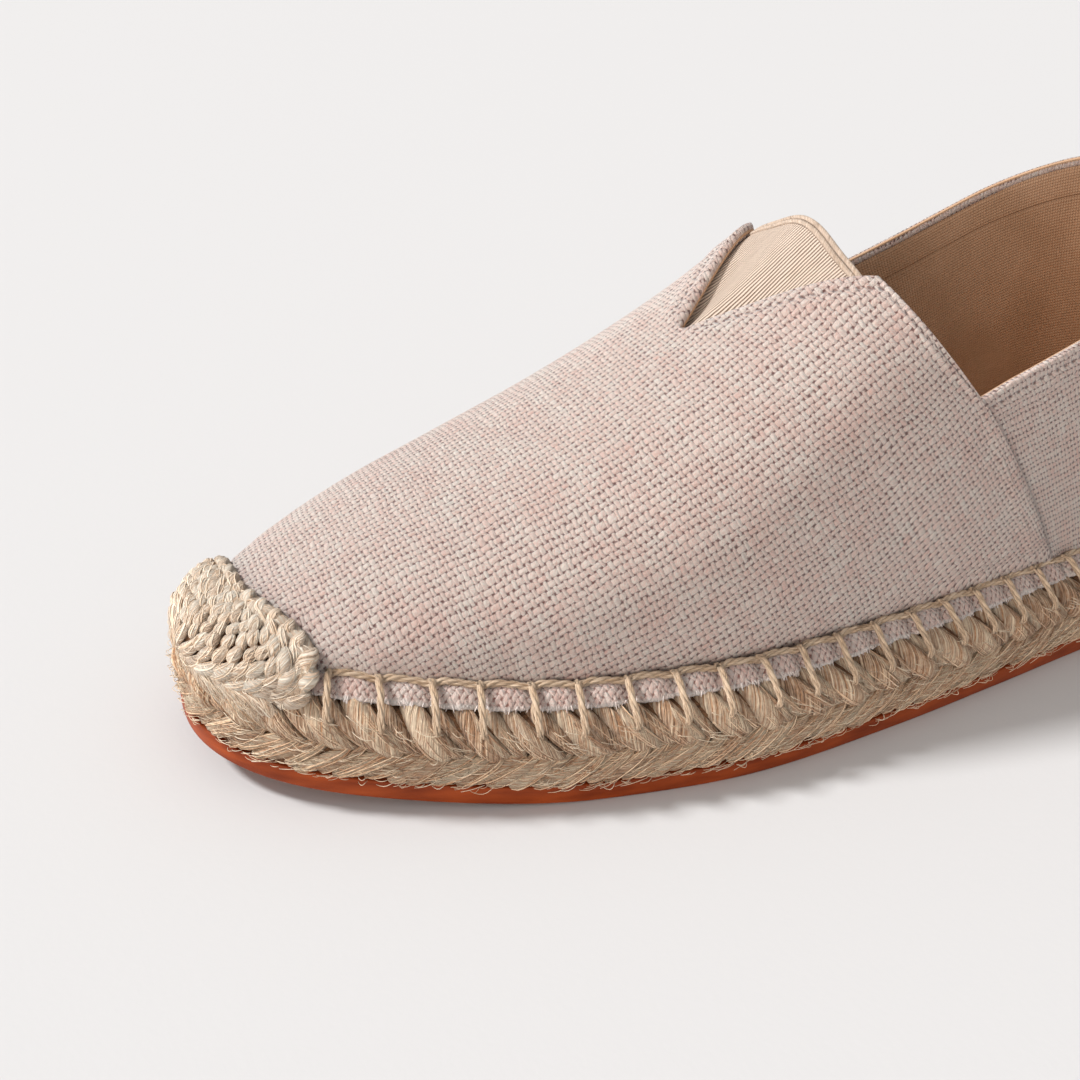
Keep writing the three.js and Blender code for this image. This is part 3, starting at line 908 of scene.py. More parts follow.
@dataclass(frozen=True)
class ElasticFinish:
    """Fine-ribbed elastic, read from the attribute weave: ribs run along the shoe."""

    rib: float = 0.68
    pick: float = 0.5
    light: Colour = (224, 204, 186)
    dark: Colour = (162, 136, 116)

    def make(self) -> bpy.types.Material:
        """Material of ribs across u with a fine cross weave along v; the grooves between ribs get painted shade.

        Returns:
            The material.
        """
        g = Graph("elastic")
        u, v, _ = g.attribute("weave")
        bend = g.noise([u * 0.25, v * 0.25, 1.0])
        rib = (u + bend * 0.4).humps(self.rib)
        fleck = g.noise([u * 1.5, v * 0.3, 4.0], 3.0)
        # Painted shade: the rib term darkens the colour in the grooves between the ribs.
        colour = g.ramp(fleck * 0.5 + rib * 0.6, {0.3: self.dark, 0.75: self.light})
        return g.finish(colour, v.humps(self.pick) * 0.25 + rib, 0.4, roughness=0.75, sheen=0.1)


@dataclass(frozen=True)
class LiningFinish:
    """Tan plain-woven cotton of the lining and insole, by the attribute weave."""

    light: Colour = (210, 172, 140)
    dark: Colour = (188, 150, 118)
    # Painted shade: colour of the dark line along the hem's step.
    thread: Colour = (110, 84, 62)
    pitch: float = 0.7
    hem_stitch: float = 8.6

    def make(self) -> bpy.types.Material:
        """Material of a fine weave with faint slubs and a faint line of painted shade at the hem.

        Returns:
            The material.
        """
        g = Graph("lining")
        u, v, _ = g.attribute("weave")
        edge, _, _ = g.attribute("trim")
        slub = g.noise([u * 0.6, v * 1.6, 0.0], 3.0)
        patch = g.noise([u * 0.05, v * 0.05, 6.0])
        colour = g.ramp(slub * 0.3 + patch * 0.7, {0.35: self.dark, 0.65: self.light})
        hem = g.line(edge, self.hem_stitch, 0.15, 0.6)
        # Painted shade along the hem's step.
        colour = g.blend(hem * 0.15, colour, self.thread)
        return g.finish(colour, hem * -0.8 + u.humps(self.pitch) * v.humps(self.pitch), 0.22, roughness=0.95)


@dataclass(frozen=True)
class RubberFinish:
    """Caramel rubber, half glossy, with faint cloudiness."""

    light: Colour = (158, 70, 27)
    dark: Colour = (118, 46, 14)

    def make(self) -> bpy.types.Material:
        """Material with soft clouds and a fine moulded skin.

        Returns:
            The material.
        """
        g = Graph("rubber")
        x, y, z = g.place()
        cloud = g.noise([x * 0.09, y * 0.09, z * 0.5], 3.0)
        skin = g.noise([x * 2.5, y * 2.5, z * 2.5])
        colour = g.ramp(cloud, {0.3: self.dark, 0.7: self.light})
        return g.finish(colour, skin, 0.04, roughness=0.45, specular=0.18)


@dataclass
class Weave:
    """Cloth coordinates on the vamp: v runs along the ridge, u down the sides in planes square to the ridge.

    A point's v is the walked length of the ridge up to the plane through the point that is square to the ridge.
    Its u is the length of the cut of that plane with the last, from the ridge to the point.
    """

    last: Last
    columns: int = 240
    rows: int = 80
    cuts: int = 400

    def __post_init__(self) -> None:
        """Works out both distances over a fine grid for each side."""
        last = self.last
        self.alongs = np.linspace(0, 1, self.columns + 1)
        self.climbs = np.linspace(0, 1, self.rows + 1)
        ridge = last.point(1.0, np.linspace(0.012, 1, 900), 1.0, 0.0)[:, 1:]
        tangent = unit(np.gradient(ridge, axis=0))
        reach = walked(ridge)
        self.tables: dict[Side, tuple[Array, Array]] = {}
        along, climb = np.meshgrid(self.alongs, self.climbs, indexing="ij")
        for side in Side:
            grid = last.point(side.value, along, climb, 0.0)
            flat = grid[..., 1:].reshape(-1, 2)
            ahead = np.einsum("pk,rk->pr", flat, tangent) - np.sum(ridge * tangent, 1)[None, :]
            place = (ahead > 0).sum(1)
            low = np.clip(place - 1, 0, len(reach) - 2)
            pick = np.arange(len(flat))
            gap = ahead[pick, low] - ahead[pick, low + 1]
            share = np.clip(ahead[pick, low] / np.where(np.abs(gap) < 1e-9, 1e-9, gap), 0, 1)
            v = mix(reach[low], reach[low + 1], share).reshape(along.shape)
            v = np.maximum.accumulate(v + 1e-6 * self.alongs[:, None], axis=0)
            self.levels = np.linspace(0, reach[-1], self.cuts)
            cut = np.stack(
                [np.stack([np.interp(self.levels, v[:, j], grid[:, j, k]) for k in range(3)], -1)
                 for j in range(self.rows + 1)], 1
            )
            below = walked(cut, 1)
            self.tables[side] = (v, (below[:, -1:] - below) * side.value)

    @staticmethod
    def _read(table: Array, i: Array, j: Array) -> Array:
        """Bilinear reading of a table.

        Args:
            table: Table with two axes.
            i: Fractional places on its first axis.
            j: Fractional places on its second axis.

        Returns:
            Readings.
        """
        i = np.clip(i, 0, table.shape[0] - 1.001)
        j = np.clip(j, 0, table.shape[1] - 1.001)
        i0 = i.astype(int)
        j0 = j.astype(int)
        low = mix(table[i0, j0], table[i0 + 1, j0], i - i0)
        high = mix(table[i0, j0 + 1], table[i0 + 1, j0 + 1], i - i0)
        return mix(low, high, j - j0)

    def at(self, side: Side, along: Array, climb: Array) -> Array:
        """Cloth coordinates at points of the last.

        Args:
            side: Side of the foot.
            along: Share of the length.
            climb: Share of the climb.

        Returns:
            Vectors (u, v, 0) in millimetres.
        """
        table_v, table_u = self.tables[side]
        v = self._read(table_v, along * self.columns, climb * self.rows)
        u = self._read(table_u, v / self.levels[-1] * (self.cuts - 1), climb * self.rows)
        return np.stack([u, v, np.zeros_like(u)], -1)


@dataclass
class Upper:
    """Canvas vamp and quarters, their lining and the turned-out margin."""

    last: Last
    weave: Weave
    canvas: CanvasFinish = field(default_factory=CanvasFinish)
    lining: LiningFinish = field(default_factory=LiningFinish)
    wall: float = 2.0
    canvas_thick: float = 1.0
    fold_in: float = 1.6
    vamp_step: float = 0.6
    hem_width: float = 5.6
    hem_height: float = 0.45
    seam_sag: float = 0.6
    pucker_depth: float = 0.3
    margin_reach: float = 3.6
    margin_drop: float = 2.6
    margin_start: float = 14.0
    ends: int = 1100
    rows: int = 64
    lining_rows: int = 48

    def stations(self, side: Side) -> dict[str, tuple[Array, Array, Array]]:
        """Foot share, top share and top climb of the columns, for the vamp and for the quarter.

        Args:
            side: Side of the foot.

        Returns:
            For each panel, three arrays with one number a column.
        """
        last = self.last
        apex, tip = last.share(last.v_apex_at), last.share(last.v_tip_at)
        corner, seam = last.share(last.corner_at), last.share(last.seam_foot_at)
        apex_foot = apex + 0.05 * (seam - apex)
        tip_foot = apex + 0.45 * (seam - apex)
        sign = side.value
        front = np.linspace(0, 1, 70)[:-1] ** 1.5
        notch = np.linspace(0, 1, 26)[:-1]
        throat = np.linspace(0, 1, 30)
        notch_top = mix(apex, tip, notch)
        notch_climb = last.climb_at_width(sign, notch_top, last.v_half_width * notch)
        tip_climb = float(last.climb_at_width(sign, np.array(tip), np.array(last.v_half_width)))
        tip_height = float(last.ridge_height(np.array(tip), 0.0)) * math.sin(tip_climb * math.pi / 2) ** (
            2 / float(last.full(np.array(tip)))
        )
        throat_top = mix(tip, corner, throat)
        throat_climb = last.climb_at_height(throat_top, mix(tip_height, last.side_height, throat))
        quarter = 1 - (1 - np.linspace(-0.06, 1, 84)) ** 1.6
        start = quarter[0]
        share = (quarter - start) / (1 - start)
        quarter_top = mix(corner, 1.0, share)
        quarter_climb = last.climb_at_height(quarter_top, last.topline(side, share))
        return {
            "vamp": (
                np.concatenate([apex_foot * front, mix(apex_foot, tip_foot, notch), mix(tip_foot, seam, throat)]),
                np.concatenate([apex * front, notch_top, throat_top]),
                np.concatenate([np.ones(69), notch_climb, throat_climb]),
            ),
            "quarter": (mix(seam - 0.03, 1.0, share), quarter_top - 0.02 * (1 - share), quarter_climb),
        }

    def net(self, side: Side, name: str, rows: int) -> dict[str, Array]:
        """Grid of one panel on the last, with its distances to the edges.

        Args:
            side: Side of the foot.
            name: vamp or quarter.
            rows: Points from the sole to the top.

        Returns:
            Arrays along, climb, height above the sole, edge (distance to the top edge), run along that edge, seam
            (distance to the side seam) and foot_run (distance along the sole).
        """
        foot, top, climb = self.stations(side)[name]
        up = np.linspace(0, 1, rows)[None, :]
        along = mix(foot[:, None], top[:, None], up**self.seam_sag)
        climbs = climb[:, None] * up
        base = self.last.point(side.value, along, climbs, 0.0)
        height = walked(base, 1)
        across = walked(base)
        closed = (climb >= 0.9999)[:, None] & (name == "vamp")
        far = np.full_like(along, FAR)
        return {
            "along": along,
            "climb": climbs,
            "height": height,
            "edge": np.where(closed, far, height[:, -1:] - height),
            "run": across[:, -1:] + 0 * along,
            "seam": across[-1:] - across if name == "vamp" else far,
            "foot_run": across[:, :1],
        }

    def panel(self, side: Side, name: str) -> Patch:
        """Canvas of one panel as a closed sheet: raised hems, a rolled edge folded in, and puckers at the stitches.

        Args:
            side: Side of the foot.
            name: vamp or quarter.

        Returns:
            Patch with the attributes weave and trim.
        """
        net = self.net(side, name, self.rows)
        edge, seam, height = net["edge"], net["seam"], net["height"]
        radius = 0.5 * self.wall
        roll = radius - np.sqrt(np.maximum(radius**2 - np.maximum(radius - edge, 0) ** 2, 0))
        seam_roll = 0.25 * (1 - ease(seam / 0.8))
        foot_run = net["foot_run"] if name == "vamp" else net["foot_run"][-1:] - net["foot_run"]
        pucker = np.cos(2 * np.pi * foot_run / STITCH_PITCH) * np.exp(-height / 3.5)
        hem = 1 - ease((edge - self.hem_width) / 0.9)
        seam_hem = 1 - ease((seam - self.hem_width) / 0.9)
        proud = self.vamp_step if name == "quarter" else 0.0
        raised = self.hem_height * np.maximum(hem, 0.8 * seam_hem) * ease(height / 6.0)
        sewn = 0.3 * np.exp(-(((edge - 3.2) / 0.7) ** 2))
        inset = proud + roll + seam_roll - self.pucker_depth * pucker - raised + sewn
        fold = 1 - ease((edge - self.fold_in) / 0.3)
        under = np.maximum(inset + 0.05, mix(self.canvas_thick + 0.1, self.wall + 0.15 - roll, fold))
        return self.sheet(side, name, net, inset, under)

    def sheet(self, side: Side, name: str, net: dict[str, Array], inset: Array, under: Array) -> Patch:
        """Closed sheet of a panel between two depths.

        Args:
            side: Side of the foot.
            name: vamp or quarter.
            net: Grid of the panel.
            inset: Depth of its outer face.
            under: Depth of its inner face.

        Returns:
            Patch with the attributes weave and trim.
        """
        edge, run, seam = net["edge"], net["run"], net["seam"]
        faces = [self.last.point(side.value, net["along"], net["climb"], depth) for depth in (inset, under)]
        weave = np.stack([edge, run, 0 * edge], -1)
        if name == "vamp":
            weave = self.weave.at(side, net["along"], net["climb"])
        patch = Patch.slab(*faces, {"weave": weave, "trim": np.stack([edge, run, seam], -1)})
        return patch if side is Side.LATERAL else patch.flipped()

    def lining_panel(self, side: Side, name: str) -> Patch:
        """Lining of one panel: a sheet inside the canvas that ends under the fold of its edge.

        Args:
            side: Side of the foot.
            name: vamp or quarter.

        Returns:
            The sheet.
        """
        net = self.net(side, name, self.lining_rows)
        edge = net["edge"]
        tuck = 0.55 * (1 - ease((edge - self.fold_in + 0.3) / 0.5))
        hem = 0.25 * (1 - ease((edge - 8.0) / 0.8))
        return self.sheet(side, name, net, self.canvas_thick + 0.15, self.wall - tuck + hem)

    def build(self) -> list[bpy.types.Object]:
        """Makes vamp, quarters, lining, margin and the loose ends along its raw edge.

        Returns:
            The objects, named for the pieces.
        """
        cloth = self.canvas.make()
        made = []
        for name in ("vamp", "quarter"):
            made.append(Patch.join([self.panel(side, name) for side in Side]).object("canvas_" + name, cloth))
        sheets = [self.lining_panel(side, name) for side in Side for name in ("vamp", "quarter")]
        made.append(Patch.join(sheets).object("lining", self.lining.make()))
        fringe = StrandFinish((250, 242, 236), (226, 204, 194), *FINE).make("fringe")
        edging = CanvasFinish(1.05, 1.05, (255, 240, 229), (246, 204, 190), (150, 96, 80), (250, 238, 230))
        made.append(self.margin().object("canvas_margin", edging.make("margin")))
        made.append(self.fringe().object("canvas_fringe", fringe))
        return made

    def margin_point(self, run: Array, t: Array, lift: Array) -> Array:
        """Point of the turned-out margin: it puffs up between stitches and is pulled in under each.

        The section runs from the foot of the upper out and down, with height sin(pi t) times |sin| of the pitch.

        Args:
            run: Distance walked round the edge.
            t: 0 at the wall, 1 at the raw edge.
            lift: Height added.

        Returns:
            Points.
        """
        last = self.last
        puff = np.abs(np.sin(np.pi * (run - last.stitch_from) / last.stitch_pitch)) ** 0.7
        ragged = 0.3 * np.sin(run * 0.9) + 0.22 * np.sin(run * 2.3 + 1.0) + 0.16 * np.sin(run * 5.7)
        reach = self.margin_reach * (0.84 + 0.26 * puff) + 0.35 * ragged
        inset = last.welt_setback + 0.4 - (reach + 0.4) * t
        crest = np.sin(np.pi * np.clip(0.08 + t * 0.87, 0, 1)) ** 0.75
        z = last.welt_z - 0.1 - self.margin_drop * t**1.25 + (0.25 + 1.15 * puff) * crest
        return last.edge(run, inset, z + lift)

    def margin(self) -> Patch:
        """Turned-out canvas as a closed strip from one end of the cap round the heel to the other.

        Returns:
            Patch with the attributes weave and trim.
        """
        last = self.last
        run = np.linspace(*(last.run_at(side, self.margin_start) for side in Side), 1400)[:, None]
        t = np.linspace(0, 1, 13)[None, :]
        top = self.margin_point(run, t, 0.0)
        under = self.margin_point(run, t * 0.97, -0.9 + 0.25 * t)
        weave = np.stack(np.broadcast_arrays((4.6 * t + run) * 0.72, (run - 4.6 * t) * 0.72, t), -1)
        trim = np.stack(np.broadcast_arrays(FAR + 0 * t, run, FAR + 0 * run), -1)
        return Patch.slab(top, under, {"weave": weave, "trim": trim}).flipped()

    def fringe(self) -> Patch:
        """Short loose ends of yarn along the raw edge of the margin.

        Returns:
            The ends as thin tubes.
        """
        last = self.last
        r = randoms(self.ends * 5, 90).reshape(5, self.ends, 1)
        s = np.linspace(0, 1, 4)[None, :]
        run = mix(last.stitch_from, last.stitch_to, r[0]) + 1.2 * (r[1] - 0.5) * s
        paths = self.margin_point(run, 0.93 + mix(0.05, 0.17, r[2]) * s, 0.1 * (r[3] - 0.3) * s)
        normals = unit(last.edge(run, 0.0, 20.0) - last.edge(run, 3.0, 18.0))
        thick = np.full(paths.shape[:2], 0.09) * (0.6 + 0.8 * r[4])
        return tubes(paths, normals, thick, thick, 3, r[4, :, 0])


@dataclass
class Gore:
    """Ribbed elastic in the V, with a double-corded free edge."""

    last: Last
    weave: Weave
    finish: ElasticFinish = field(default_factory=ElasticFinish)
    depth: float = 1.7
    stretch: float = 1.7
    thickness: float = 1.1
    hem: float = 4.5
    setback: float = 1.0

    def build(self) -> list[bpy.types.Object]:
        """Makes the elastic and its bead.

        Returns:
            The two objects.
        """
        last = self.last
        along = np.linspace(last.share(last.v_apex_at - self.hem), last.share(last.v_tip_at - self.setback), 40)
        across = np.linspace(-1, 1, 61)
        apex = last.share(last.v_apex_at)
        spread = (along - apex) / (last.share(last.v_tip_at) - apex)
        reach = np.maximum(spread, 0) * last.v_half_width + self.hem
        a, c = np.meshgrid(along, across, indexing="ij")
        sign = np.where(c < 0, -1.0, 1.0)
        climb = last.climb_at_width(sign, a, reach[:, None] * np.abs(c))
        half = reach[:, None] * c
        length = (a - apex) * last.upper_length
        weave = np.stack([half, length, 0 * half], -1)
        crown = self.depth + self.stretch * np.sin(np.pi * np.abs(c)) ** 2
        top = last.point(sign, a, climb, crown)
        under = last.point(sign, a, climb, crown + self.thickness)
        sheet = Patch.slab(top, under, {"weave": weave}).flipped().object("elastic", self.finish.make())
        path = last.point(sign[-1], a[-1], climb[-1], crown[-1] + 0.05)
        normal = unit(top[-1] - under[-1])
        back = unit(np.gradient(top[:, :, :], axis=0)[-1])
        offsets = np.array([0.1, -1.0])
        paths = path[None] + back[None] * offsets[:, None, None]
        wide = np.full(paths.shape[:2], 0.55)
        bead = tubes(paths, np.repeat(normal[None], 2, 0), wide, wide, 10, np.array([0.5, 0.6]))
        cord = StrandFinish((220, 199, 180), (190, 165, 142), 2.0, 3.0, 0.12).make("bead")
        return [sheet, bead.object("elastic_bead", cord)]


@dataclass
class Strands:
    """Bundles of fibre lying on the side of the sole, as centre lines with their outward direction and size."""

    paths: Array
    normals: Array
    wide: Array
    deep: Array
    key: int

    def tubes(self, sides: int) -> Patch:
        """The bundles as closed tubes."""
        return tubes(self.paths, self.normals, self.wide, self.deep, sides, randoms(len(self.paths), self.key))

    def fibres(self, each: int, thick: float, stray: float) -> Patch:
        """Single fibres on the outside of each bundle.

        A fibre lies at across * wide cos(a) + outward * deep sin(a), where a drifts along the bundle.

        Args:
            each: Fibres a bundle.
            thick: Half-thickness of a fibre.
            stray: How far its ends may lift off.

        Returns:
            Patch of thin tubes.
        """
        count, steps = self.paths.shape[:2]
        total = count * each
        r = randoms(total * 5, self.key + 1).reshape(5, total, 1)
        t = np.linspace(0, 1, steps)[None, :]
        across = np.repeat(frame_of(self.paths, self.normals)[0], each, 0)
        out = np.repeat(self.normals, each, 0)
        angle = np.pi * (0.08 + 0.84 * r[0]) + 0.9 * (r[1] - 0.5) * (t - 0.5)
        lift = 1.0 + stray * (r[2] - 0.3) * np.abs(2 * t - 1) ** 3
        wide = np.repeat(self.wide, each, 0) * np.cos(angle) * lift
        deep = np.repeat(self.deep, each, 0) * np.sin(angle) * lift + 0.3 * thick
        paths = np.repeat(self.paths, each, 0) + across * wide[..., None] + out * deep[..., None]
        size = np.full(paths.shape[:2], thick) * (0.6 + 0.8 * r[3])
        return tubes(paths, out, size, size, 3, r[4, :, 0])


@dataclass
class JuteSole:
    """Plait stood on edge: plump bundles leaning one way above, flatter ones the other way below."""

    last: Last
    groove_z: float = 9.8
    shoulder_reach: float = 8.8
    hair_count: int = 2300

    def build(self) -> list[bpy.types.Object]:
        """Makes the filling, both rows of bundles, their fibres and the loose hairs.

        Returns:
            The objects.
        """
        jute = StrandFinish().make("jute strand")
        frayed = StrandFinish((255, 232, 199), (230, 175, 131)).make("jute frayed")
        fibre = StrandFinish((255, 228, 194), (176, 124, 86), *FINE).make("jute fibre")
        hair = StrandFinish((250, 236, 212), (214, 184, 150), *FINE).make("jute hair")
        upper = self.upper_row()
        lower = self.lower_row()
        return [
            self.fill().object("jute_fill", JuteFillFinish().make()),
            Patch.join([row.tubes(10) for row in upper]).object("jute_upper_row", jute),
            Patch.join([row.fibres(5, 0.1, 0.25) for row in upper]).object("jute_upper_fibres", fibre),
            Patch.join([row.tubes(9) for row in lower]).object("jute_lower_row", frayed),
            Patch.join([row.fibres(4, 0.1, 0.7) for row in lower]).object("jute_lower_fibres", fibre),
            self.hairs().object("jute_hairs", hair),
        ]

    def fill(self) -> Patch:
        """Body of the sole: a closed band round the edge whose rows meet over and under along the middle.

        Returns:
            The body.
        """
        last = self.last
        rows = [
            (1.4, last.braid_foot_z), (1.3, last.braid_foot_z + 1.5), (1.7, self.groove_z - 1.0),
            (2.6, self.groove_z), (1.8, self.groove_z + 1.6), (1.8, last.shoulder_z - 1.5),
            (3.4, last.shoulder_z), (self.shoulder_reach, last.braid_top_z),
        ]
        return last.band(rows, 251)

    def lay(self, centre: Array, run: Curve, height: Curve, inset: Curve, size: Curve, flat: float,
            key: int) -> Strands:
        """Bundles laid along curves of their own length, each a little different.

        Args:
            centre: Walked distance of each bundle.
            run: Offset along the edge.
            height: Height over the sole's underside.
            inset: Distance in from the edge.
            size: Half-width.
            flat: Half-depth as a share of the half-width.
            key: Key of its random numbers.

        Returns:
            The bundles.
        """
        last = self.last
        count = len(centre)
        t = np.linspace(0, 1, 11)[None, :]
        j = jitter(6, count, key)
        walked = centre[:, None] + run(t) * (1 + 0.18 * j[0]) + 0.4 * j[1]
        high = height(t) + 0.35 * j[2] * np.sin(np.pi * t * 0.7)
        deep_in = inset(t) + 0.22 * j[3]
        paths = last.edge(walked, deep_in, high)
        normals = unit(last.edge(walked, deep_in - 1.0, high) - paths)
        wide = size(t) * (1 + 0.14 * j[4])
        return Strands(paths, normals, wide, wide * flat * (1 + 0.12 * j[5]), key + 1)

    def upper_row(self) -> list[Strands]:
        """Two plump bundles and a thin one to a stitch, leaning back as they go down and tucked in at the groove.

        Returns:
            The three sets of bundles.
        """
        pitch = self.last.lobe_pitch
        centre = np.arange(self.last.lobes) * pitch
        marks = (0.0, 0.3, 0.6, 0.85, 1.0)
        top = self.last.shoulder_z
        run = Curve(marks, (-4.4, -2.4, 0.5, 3.0, 4.4))
        height = Curve(marks, (top + 0.9, top - 0.9, top - 3.6, top - 5.9, top - 6.9))
        size = Curve(marks, (1.6, 2.0, 2.25, 1.85, 0.5))
        small = Curve(marks, (1.3, 1.55, 1.55, 1.2, 0.4))
        front = Curve(marks, (5.4, 3.1, 1.7, 2.0, 3.0))
        behind = Curve(marks, (5.4, 3.3, 2.1, 2.1, 3.0))
        thin_size = Curve(marks, (0.8, 1.0, 1.15, 0.9, 0.2))
        on_top = Curve(marks, (4.6, 1.9, 0.9, 1.3, 2.3))
        return [
            self.lay(centre, run, height, front, size, 0.95, 10),
            self.lay(centre + 0.5 * pitch, run, height, behind, small, 0.95, 20),
            self.lay(centre + 0.2 * pitch, run, height, on_top, thin_size, 0.9, 30),
        ]

    def lower_row(self) -> list[Strands]:
        """Three flatter, frayed bundles to a stitch, leaning forward as they go down to the rubber.

        Returns:
            The three sets of bundles.
        """
        foot = self.last.braid_foot_z
        marks = (0.0, 0.25, 0.55, 0.85, 1.0)
        run = Curve(marks, (4.6, 3.0, 0.0, -3.2, -4.6))
        height = Curve(marks, (self.groove_z + 1.0, self.groove_z - 0.6, foot + 3.1, foot + 0.9, foot + 0.1))
        size = Curve(marks, (0.4, 1.1, 1.25, 1.15, 0.5))
        rows = []
        for k, depth in enumerate((1.0, 1.6, 1.25)):
            inset = Curve(marks, (2.3, depth + 0.4, depth - 0.1, depth, depth + 0.2))
            centre = (np.arange(self.last.lobes) + k / 3) * self.last.lobe_pitch
            rows.append(self.lay(centre, run, height, inset, size, 0.88, 40 + 10 * k))
        return rows

    def hairs(self) -> Patch:
        """Loose fibres that stand off the braid in flat arcs.

        Returns:
            The fibres as thin tubes.
        """
        last = self.last
        r = randoms(self.hair_count * 7, 80).reshape(7, self.hair_count, 1)
        t = np.linspace(0, 1, 6)[None, :]
        low = r[0] < 0.68
        below = mix(last.braid_foot_z - 0.2, self.groove_z, r[1] ** 1.4)
        height = np.where(low, below, mix(self.groove_z, last.shoulder_z, r[1]))
        lean = np.where(low, 1.0, -1.0) * mix(0.1, 1.0, r[2])
        length = mix(2.0, 6.5, r[3] ** 2)
        run = r[4] * last.perimeter + length * 0.75 * (t - 0.5)
        z = height + lean * length * 0.5 * (t - 0.5)
        out = 0.1 - mix(0.2, 1.3, r[5] ** 3) * np.sin(np.pi * t) - 0.3 * r[6] * t
        paths = last.edge(run, out, z)
        paths[..., 2] = np.maximum(paths[..., 2], 0.8)
        normals = unit(last.edge(run, out - 1.0, z) - paths)
        thick = np.full(paths.shape[:2], 0.05) * (1 + 0.6 * r[6])
        return tubes(paths, normals, thick, thick, 3, r[6, :, 0])


@dataclass
class RubberSole:
    """Thin outsole with a soft lower edge."""

    last: Last
    setback: float = 0.7
    bevel: float = 0.5

    def build(self) -> list[bpy.types.Object]:
        """Makes the outsole as a band whose rows meet along the middle, over and under.

        Returns:
            The outsole alone.
        """
        last = self.last
        turn = np.linspace(0, np.pi / 2, 5)
        rows = [(self.setback + self.bevel * (1 - math.sin(a)), self.bevel * (1 - math.cos(a))) for a in turn]
        rows += [(self.setback - 0.05, last.rubber * 0.5)]
        rows += [(self.setback + 0.3 * (1 - math.cos(a)), last.rubber - 0.3 + 0.3 * math.sin(a)) for a in turn]
        return [last.band(rows, 301).object("rubber_sole", RubberFinish().make())]


@dataclass
class Insole:
    """Cloth-covered insole, soft at its edge."""

    last: Last
    inset: float = 10.4
    thickness: float = 2.5
    clear: float = 24.0

    def build(self) -> list[bpy.types.Object]:
        """Makes the insole as a band whose rows meet along the middle, over and under.

        Returns:
            The insole alone.
        """
        last = self.last
        side = np.repeat([1.0, -1.0], 160)
        along = np.concatenate([crowded(160), crowded(160)[::-1]])
        half = last.sole_length / 2
        foot = last.braid_top_z + last.clearance
        rows = [(0.0, 0.0), (0.0, 0.7), (0.3, 0.92), (1.0, 1.0)]
        grid = [last.outline(side, along, self.inset + a, foot + b * self.thickness) for a, b in rows]
        flat = []
        for row, z in ((grid[0], foot), (grid[-1], foot + self.thickness)):
            made = row.copy()
            made[:, 0] = last.axis_x
            made[:, 1] = np.clip(made[:, 1], self.clear - half, half - self.clear)
            made[:, 2] = z + last.lift(made[:, 1])
            flat.append(made)
        points = np.stack([flat[0], *grid, flat[1]], 1)
        weave = np.stack([points[..., 0], points[..., 1], 0 * points[..., 0]], -1)
        trim = np.full_like(weave, FAR)
        patch = Patch.grid(points, {"weave": weave, "trim": trim})
        return [patch.object("insole_cloth", LiningFinish((190, 162, 134), (162, 132, 104)).make())]


